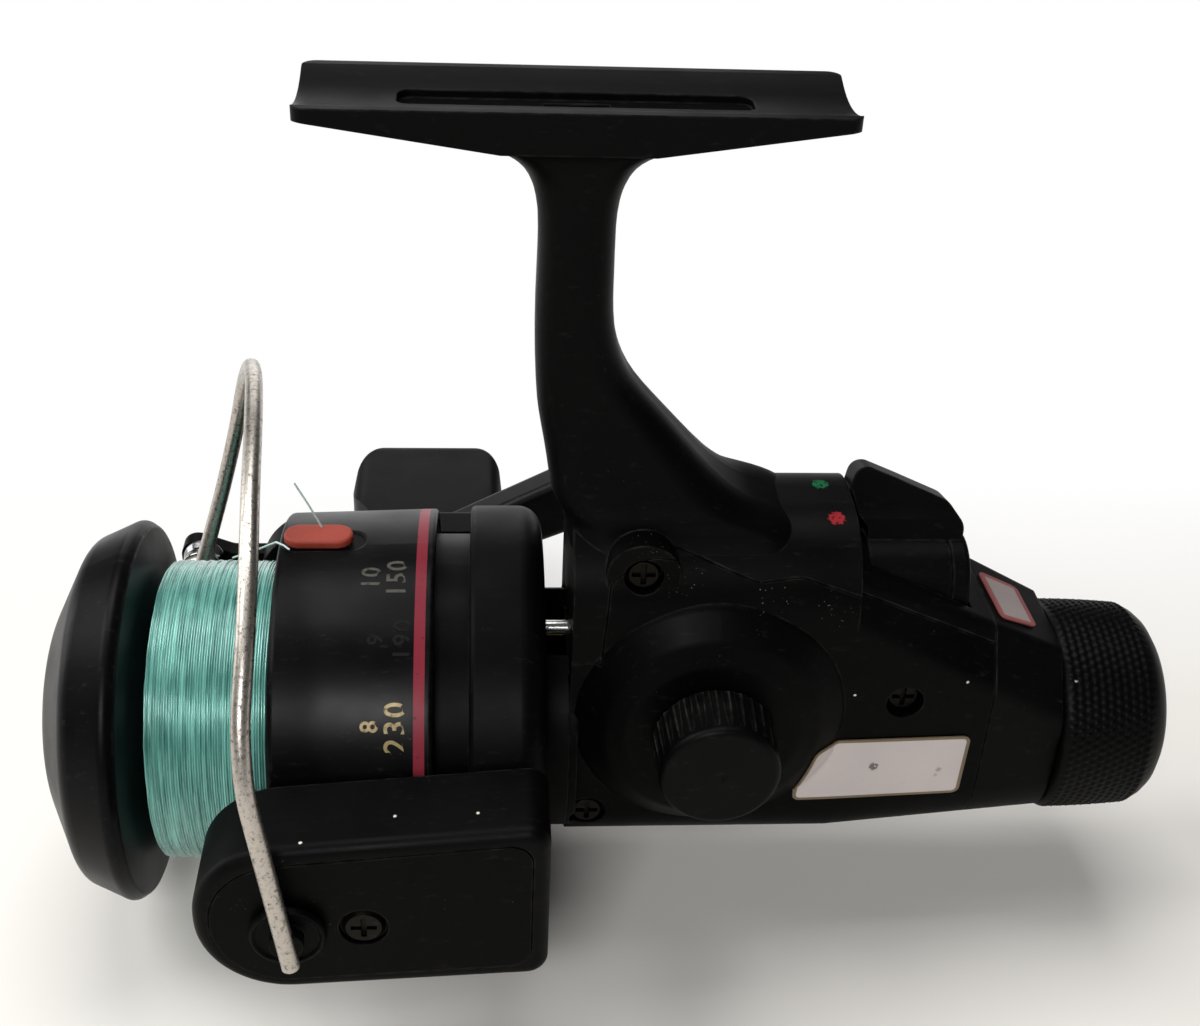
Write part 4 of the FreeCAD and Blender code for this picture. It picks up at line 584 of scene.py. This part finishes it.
@dataclass
class SpoolDress:
    """The line on the spool and the numbers printed on its skirt."""

    turn: float = 0.3 * MM
    winding_front: float = -49.9 * MM
    winding_rear: float = -35.4 * MM
    winding_radius: float = 19.2 * MM
    arbor_radius: float = 13.1 * MM
    skirt_radius: float = 25.6 * MM
    skirt_middle: float = -25 * MM
    skirt_taper: float = 0.031
    strand_radius: float = 0.14 * MM
    steps_round: int = 128
    # Across one turn: the share of its width, and the height in mm.
    turn_profile: tuple = ((0.04, -0.10), (0.28, -0.015), (0.5, 0.0), (0.72, -0.015), (0.96, -0.10))
    uneven: float = 0.11 * MM
    uneven_waves: tuple = (2.3, 0.71)
    sunk: float = 0.05 * MM
    edge_drop: float = 0.5 * MM
    edge_turns: float = 1.2
    swell_size: float = 3.2 * MM
    swell_height: float = 0.22 * MM
    text_size: float = 1.38
    text_spacing: float = 1.15
    foil_thickness: float = 0.02 * MM
    stroke_growth: float = 0.045 * MM
    run_mm: tuple = ((-42.5, 12.0, -67.7), (-41.2, 10.6, -66.3), (-38.2, 5.9, -62.2), (-34.95, 0.7, -57.5),
                     (-33.9, -0.3, -57.3), (-33.1, -1.3, -57.25))
    tag_mm: tuple = ((-29.4, 2.4, -56.6), (-30.2, 2.5, -54.9), (-31.0, 2.6, -53.2), (-32.6, 3.0, -50.3))
    # Figures, height in mm, place along the axis in mm, angle round the skirt in degrees, foil.
    numbers: tuple = (
        ("150", 2.5, -19.85, 76.2, WORN_FOIL), ("10", 2.3, -22.95, 76.4, WORN_FOIL),
        ("230", 2.6, -19.7, 34.4, HOT_FOIL), ("8", 2.1, -22.7, 34.7, HOT_FOIL),
        ("190", 2.2, -19.0, 57.3, FADED_FOIL), ("9", 1.9, -22.15, 57.4, FADED_FOIL))

    def wind_line(self) -> bpy.types.Object:
        """Wind the line: rounded turns side by side, with a few turns lying proud or sunk."""
        count = int((self.winding_rear - self.winding_front) / self.turn)
        quick, slow = self.uneven_waves
        points = [(self.winding_front, 0.0, AXIS_Z + self.arbor_radius)]
        for i in range(count):
            start = self.winding_front + i * self.turn
            lift = self.uneven * math.sin(i * quick) * math.sin(i * slow) - self.sunk
            edge = min(i, count - 1 - i)
            drop = self.edge_drop * math.exp(-edge / self.edge_turns)
            for share, rise_mm in self.turn_profile:
                radius = self.winding_radius + lift - drop + rise_mm * MM
                points.append((start + share * self.turn, 0.0, AXIS_Z + radius))
        points.append((self.winding_rear, 0.0, AXIS_Z + self.arbor_radius))
        winding = Bench.spun("line_winding", points, self.steps_round)
        Bench.only(winding)
        texture = bpy.data.textures.new("uneven_turns", "CLOUDS")
        texture.noise_scale = self.swell_size
        swell = winding.modifiers.new("uneven", "DISPLACE")
        swell.texture = texture
        swell.texture_coords = "LOCAL"
        swell.strength = self.swell_height
        swell.mid_level = 0.75
        bpy.ops.object.modifier_apply(modifier=swell.name)
        bpy.data.textures.remove(texture)
        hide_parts("wound_line")
        return Bench.finish(winding, Slot.LINE.material(), "spool", "line", smooth_deg=60)

    def print_number(self, text: str, size: float, x: float, angle_deg: float,
                     finish: Finish) -> bpy.types.Object:
        """Print a plain number on the skirt, reading upwards round it.

        Args:
            text: the digits.
            size: the digits' height.
            x: where their middle lies along the axis.
            angle_deg: where their middle lies round the skirt.
            finish: the foil they are printed in.

        Returns:
            The number as a thin mesh on the skirt.
        """
        bpy.ops.object.select_all(action="DESELECT")
        bpy.ops.object.text_add()
        piece = bpy.context.active_object
        piece.name = f"capacity_{text}"
        piece.data.body = text
        piece.data.size = size * self.text_size
        piece.data.space_character = self.text_spacing
        piece.data.align_x = "CENTER"
        piece.data.align_y = "CENTER"
        piece.data.extrude = self.foil_thickness
        piece.data.offset = self.stroke_growth
        piece.data.resolution_u = 4
        Bench.only(piece)
        bpy.ops.object.convert(target="MESH")
        for vertex in piece.data.vertices:
            along, across, proud = vertex.co
            radius = self.skirt_radius + (x - self.skirt_middle) * self.skirt_taper + proud
            turned = angle_deg + math.degrees(along / self.skirt_radius)
            vertex.co = Bench.around_axis(turned, radius, x - across)
        return Bench.finish(piece, made(finish), "spool", "spool_black", smooth_deg=20)

    def lay_strand(self, name: str, points: Sequence[Point]) -> bpy.types.Object:
        """Lay one loose length of line through some points.

        Args:
            name: the strand's name.
            points: its path, in millimetres.

        Returns:
            The strand as a thin tube.
        """
        path = [tuple(c * MM for c in point) for point in points]
        strand = Bench.line(name, path)
        bpy.ops.object.mode_set(mode="OBJECT")
        skin = strand.modifiers.new("thickness", "SKIN")
        skin.use_smooth_shade = True
        for vertex in strand.data.skin_vertices[0].data:
            vertex.radius = (self.strand_radius, self.strand_radius)
        rounder = strand.modifiers.new("round", "SUBSURF")
        rounder.levels = 1
        Bench.only(strand)
        for modifier in (skin.name, rounder.name):
            bpy.ops.object.modifier_apply(modifier=modifier)
        return Bench.finish(strand, made(LOOSE_LINE), "spool", "line", smooth_deg=80)

    def build(self) -> None:
        """Wind the line, print the capacity numbers and lay the line's end in its clip."""
        self.wind_line()
        self.lay_strand("line_run", self.run_mm)
        self.lay_strand("line_tag", self.tag_mm)
        for text, size_mm, x_mm, angle_deg, finish in self.numbers:
            self.print_number(text, size_mm * MM, x_mm * MM, angle_deg, finish)


@dataclass
class LabelDress:
    """Bare plates where the reel carries its labels, laid onto the moulding under them."""

    thickness: float = 0.2 * MM
    corner: float = 1.0 * MM
    glue: float = 0.06 * MM
    cuts: int = 47
    side_border: float = 0.35 * MM
    rear_border: float = 0.8 * MM
    side_mm: tuple = ((29.9, -12.9, -88.5), (51.7, -12.7, -87.7), (51.9, -12.7, -78.2), (30.4, -12.9, -78.6))
    rear_mm: tuple = ((55.3, -5.6, -64.5), (60.8, -4.1, -67.2), (60.4, 4.3, -67.0), (54.6, 4.1, -64.2))

    def rounded(self, across: float, up: float, width: float, height: float) -> tuple[float, float]:
        """Move a point of a rectangle so that the rectangle's corners become round."""
        inner_x, inner_y = width / 2 - self.corner, height / 2 - self.corner
        over_x, over_y = abs(across) - inner_x, abs(up) - inner_y
        if over_x <= 0 or over_y <= 0:
            return across, up
        share = max(over_x, over_y) / math.hypot(over_x, over_y)
        return (math.copysign(inner_x + over_x * share, across), math.copysign(inner_y + over_y * share, up))

    def plate(self, name: str, corners_mm: Sequence[Point], under: bpy.types.Object, border: float,
              faces: tuple[Finish, Finish]) -> bpy.types.Object:
        """Lay one thin plate with rounded corners and a printed border.

        Args:
            name: the plate's name.
            corners_mm: its corners a little proud of the moulding, in order, in millimetres.
            under: the moulding that it lies on.
            border: the width of the printed border.
            faces: the finish of its middle and that of its border.

        Returns:
            The plate.
        """
        first, second, third, fourth = (Vector(corner) * MM for corner in corners_mm)
        width, height = (second - first).length, (fourth - first).length
        bpy.ops.object.select_all(action="DESELECT")
        bpy.ops.mesh.primitive_plane_add(size=1.0)
        piece = bpy.context.active_object
        piece.name = name
        bpy.ops.object.mode_set(mode="EDIT")
        bpy.ops.mesh.select_all(action="SELECT")
        bpy.ops.mesh.subdivide(number_cuts=self.cuts)
        bpy.ops.object.mode_set(mode="OBJECT")
        for material in faces:
            piece.data.materials.append(made(material))
        for polygon in piece.data.polygons:
            x, y = polygon.center.x * width, polygon.center.y * height
            rim = min(width / 2 - abs(x), height / 2 - abs(y))
            polygon.material_index = 1 if rim < border else 0
        for vertex in piece.data.vertices:
            x, y = self.rounded(vertex.co.x * width, vertex.co.y * height, width, height)
            u, v = x / width + 0.5, y / height + 0.5
            low, high = first.lerp(second, u), fourth.lerp(third, u)
            vertex.co = low.lerp(high, v)
        if piece.data.polygons[0].normal.dot(Vector((0, -1, 1))) < 0:
            bpy.ops.object.mode_set(mode="EDIT")
            bpy.ops.mesh.select_all(action="SELECT")
            bpy.ops.mesh.flip_normals()
            bpy.ops.object.mode_set(mode="OBJECT")
        lay = piece.modifiers.new("lay", "SHRINKWRAP")
        lay.target = under
        lay.wrap_method = "NEAREST_SURFACEPOINT"
        lay.wrap_mode = "OUTSIDE_SURFACE"
        lay.offset = self.glue
        wall = piece.modifiers.new("film", "SOLIDIFY")
        wall.thickness = self.thickness
        wall.offset = 1
        Bench.only(piece)
        for modifier in (lay.name, wall.name):
            bpy.ops.object.modifier_apply(modifier=modifier)
        bpy.ops.object.shade_smooth_by_angle(angle=math.radians(30))
        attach(piece, "case")
        log.info("made %s with %d faces", piece.name, len(piece.data.polygons))
        return piece

    def build(self, nodes: dict) -> None:
        """Lay the side plate and the rear plate.

        Args:
            nodes: the CAD nodes by name.
        """
        self.plate("side_plate", self.side_mm, nodes["side_cover"], self.side_border,
                   (LABEL_FACE, LABEL_EDGE))
        self.plate("rear_plate", self.rear_mm, nodes["drag_housing"], self.rear_border,
                   (REAR_LABEL_FACE, REAR_LABEL_EDGE))


@dataclass
class DragKnobDress:
    """The rear drag knob, with rows of small raised pips for grip."""

    front: float = 63.9 * MM
    rear: float = 79.4 * MM
    grip_front_mm: float = 0.6
    grip_rear_mm: float = 3.8
    grip_radius_mm: float = 13.72
    grip_fall_mm: float = 0.5
    # Before the grip: distance from the front face and radius, in mm.
    front_mm: tuple = ((0.0, 10.5), (0.0, 13.3), (0.3, 13.6))
    # Behind the grip: distance from the rear end and radius, in mm.
    rear_mm: tuple = ((2.9, 12.75), (1.9, 11.9), (1.0, 10.5), (0.45, 8.8), (0.1, 6.5), (0.0, 4.0),
                      (0.0, 0.02))
    inside_grip: float = 12 * MM
    pips_round: int = 78
    rows: int = 11
    pip_height: float = 0.26 * MM
    pip_reach: float = 0.42
    around: int = 4

    def outline(self) -> list[Point]:
        """The knob's outer profile from its front face to its rear centre."""
        profile = list(self.front_mm)
        length = (self.rear - self.front) / MM
        steps = self.rows * self.around
        for step in range(steps + 1):
            share = step / steps
            along = self.grip_front_mm + share * (length - self.grip_rear_mm - self.grip_front_mm)
            profile.append((along, self.grip_radius_mm - self.grip_fall_mm * share * share))
        profile += [(length - back, radius) for back, radius in self.rear_mm]
        return [(self.front + a * MM, 0.0, AXIS_Z + b * MM) for a, b in profile]

    def build(self) -> None:
        """Spin the knob, raise its pips and put it in place of the plain one."""
        knob = Bench.spun("drag_grip", self.outline(), self.pips_round * self.around)
        low = self.front + self.grip_front_mm * MM
        high = self.rear - self.grip_rear_mm * MM
        for vertex in knob.data.vertices:
            x, y, z = vertex.co
            radius = math.hypot(y, z - AXIS_Z)
            if not low < x < high or radius < self.inside_grip:
                continue
            row = (x - low) / (high - low) * self.rows
            column = math.atan2(z - AXIS_Z, y) / (2 * math.pi) * self.pips_round + 0.5 * (int(row) % 2)
            away = math.hypot(row % 1 - 0.5, column % 1 - 0.5)
            lift = self.pip_height * max(0.0, 1 - (away / self.pip_reach) ** 2)
            scale = (radius + lift) / radius
            vertex.co = (x, y * scale, AXIS_Z + (z - AXIS_Z) * scale)
        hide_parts("drag_knob")
        Bench.finish(knob, Slot.KNOB.material(), "drag_knob", "knob_black", smooth_deg=50)


@dataclass
class Reel:
    """The whole reel: CAD nodes in their finishes, and the dress that is laid over them."""

    frame: dict

    def paint_nodes(self) -> None:
        """Give every CAD node the finish of its slot."""
        finishes = {member.slot: member for member in Slot}
        record = self.frame["record"]
        for entry in record["subparts"]:
            node = self.frame["nodes"].get(entry["node"])
            member = finishes.get(entry["material_slot"])
            if node is None or member is None:
                log.warning("no finish for %s", entry["node"])
                continue
            for holder in node.material_slots:
                holder.material = member.material()
            if not node.material_slots:
                node.data.materials.append(member.material())

    def build(self) -> None:
        """Dress the reel."""
        self.paint_nodes()
        SpoolDress().build()
        LabelDress().build(self.frame["nodes"])
        DragKnobDress().build()


# ------------------------------------------------------------------ studio


@dataclass(frozen=True)
class Lamp:
    """One square soft lamp."""

    name: str
    place: Point
    target: Point
    side: float
    watts: float

    def hang(self) -> None:
        """Hang the lamp in its place, facing its target."""
        data = bpy.data.lights.new(self.name, "AREA")
        data.shape = "SQUARE"
        data.size = self.side
        data.energy = self.watts
        lamp = bpy.data.objects.new(self.name, data)
        bpy.context.scene.collection.objects.link(lamp)
        lamp.location = self.place
        facing = Vector(self.target) - Vector(self.place)
        lamp.rotation_euler = facing.to_track_quat("-Z", "Y").to_euler()


LAMPS = (
    Lamp("window", (-0.52, 0.02, 0.56), (0, 0, -0.07), 0.40, 4.0),
    Lamp("ceiling", (-0.02, 0.16, 0.70), (0, 0, -0.07), 0.45, 4.1),
    Lamp("back_wall", (-0.10, 0.75, 0.14), (0, 0, -0.07), 0.5, 1.2),
    Lamp("left_wall", (-0.75, 0.28, 0.10), (0, 0, -0.05), 0.4, 1.8),
    Lamp("room", (-0.10, -0.44, 0.26), (0, 0, -0.08), 0.16, 1.7))


@dataclass
class Studio:
    """A pale floor, soft light from the window, the ceiling and the walls, and the camera."""

    floor_z: float = -111.7 * MM
    floor_size: float = 6.0
    floor_colour: str = "#d8d5d0"
    far_fade: tuple = (0.035, 0.10)
    rim_fade: tuple = (0.20, 0.42)
    air_strength: float = 0.08
    sensor_mm: float = 36.0
    lens_mm: float = 48.198
    nearest: float = 0.01
    place: tuple = (-0.009694, -0.163503, 0.054592)
    ahead: tuple = (0.07245, 0.83388, -0.54716)
    roll_deg: float = 2.817

    def set_camera(self) -> None:
        """Put the camera in its place, and aim and roll it."""
        bpy.ops.object.select_all(action="DESELECT")
        data = bpy.data.cameras.new("camera")
        data.sensor_width = self.sensor_mm
        data.lens = self.lens_mm
        data.clip_start = self.nearest
        camera = bpy.data.objects.new("camera", data)
        bpy.context.scene.collection.objects.link(camera)
        ahead = Vector(self.ahead).normalized()
        right = ahead.cross(Vector((0, 0, 1))).normalized()
        up = right.cross(ahead)
        roll = math.radians(self.roll_deg)
        turned_right = right * math.cos(roll) + up * math.sin(roll)
        turned_up = up * math.cos(roll) - right * math.sin(roll)
        axes = Matrix((turned_right, turned_up, -ahead)).transposed().to_4x4()
        camera.matrix_world = Matrix.Translation(Vector(self.place)) @ axes
        bpy.context.scene.camera = camera

    def lay_floor(self) -> None:
        """Lay a wide pale floor, seen fading to white at its far side and towards its rim."""
        bpy.ops.object.select_all(action="DESELECT")
        bpy.ops.mesh.primitive_plane_add(size=self.floor_size, location=(0, 0, self.floor_z))
        floor = bpy.context.active_object
        floor.name = "paper_floor"
        material = bpy.data.materials.new("white_paper")
        material.use_nodes = True
        tree = material.node_tree
        tree.nodes.clear()
        place = add_node(tree, "TexCoord")
        split = add_node(tree, "SeparateXYZ", None, {0: place.outputs["Object"]})
        away = add_node(tree, "VectorMath", {"operation": "LENGTH"}, {0: place.outputs["Object"]})
        fades = []
        for (start, end), measured in ((self.far_fade, split.outputs["Y"]),
                                       (self.rim_fade, away.outputs["Value"])):
            fades.append(add_node(tree, "MapRange",
                                  {"From Min": start, "From Max": end, "To Min": 0.0, "To Max": 1.0},
                                  {"Value": measured}))
        pale = add_node(tree, "Math", {"operation": "MAXIMUM"}, dict(enumerate(fades)))
        path = add_node(tree, "LightPath")
        seen = add_node(tree, "Math", {"operation": "MAXIMUM"},
                        {0: path.outputs["Is Camera Ray"], 1: path.outputs["Is Glossy Ray"]})
        amount = add_node(tree, "Math", {"operation": "MULTIPLY"}, {0: pale, 1: seen})
        matt = {"Base Color": linear(self.floor_colour), "Roughness": 0.9, "Specular IOR Level": 0.2}
        paper = add_node(tree, "BsdfPrincipled", matt)
        white = add_node(tree, "Emission", {"Color": (1, 1, 1, 1), "Strength": 1.0})
        mixed = add_node(tree, "MixShader", None, {0: amount, 1: paper, 2: white})
        add_node(tree, "OutputMaterial", None, {"Surface": mixed})
        floor.data.materials.append(material)

    def light(self) -> None:
        """Hang the lamps in air that is white to the camera and gives only a weak light."""
        for lamp in LAMPS:
            lamp.hang()
        world = bpy.data.worlds.new("studio_air")
        bpy.context.scene.world = world
        world.use_nodes = True
        tree = world.node_tree
        tree.nodes.clear()
        air = add_node(tree, "Background", {"Color": (1, 1, 1, 1), "Strength": self.air_strength})
        white = add_node(tree, "Background", {"Color": (1, 1, 1, 1), "Strength": 1.0})
        path = add_node(tree, "LightPath")
        mixed = add_node(tree, "MixShader", None, {0: path.outputs["Is Camera Ray"], 1: air, 2: white})
        add_node(tree, "OutputWorld", None, {"Surface": mixed})

    def build(self) -> None:
        """Set the stage."""
        self.lay_floor()
        self.light()
        self.set_camera()
        bpy.context.scene.view_settings.view_transform = "Standard"


def main() -> None:
    """Load the frame, dress the reel and set the stage."""
    logging.basicConfig(level=logging.INFO, format="%(name)s: %(message)s")
    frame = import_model()
    Reel(frame).build()
    Studio().build()


if __name__ == "__main__":
    main()
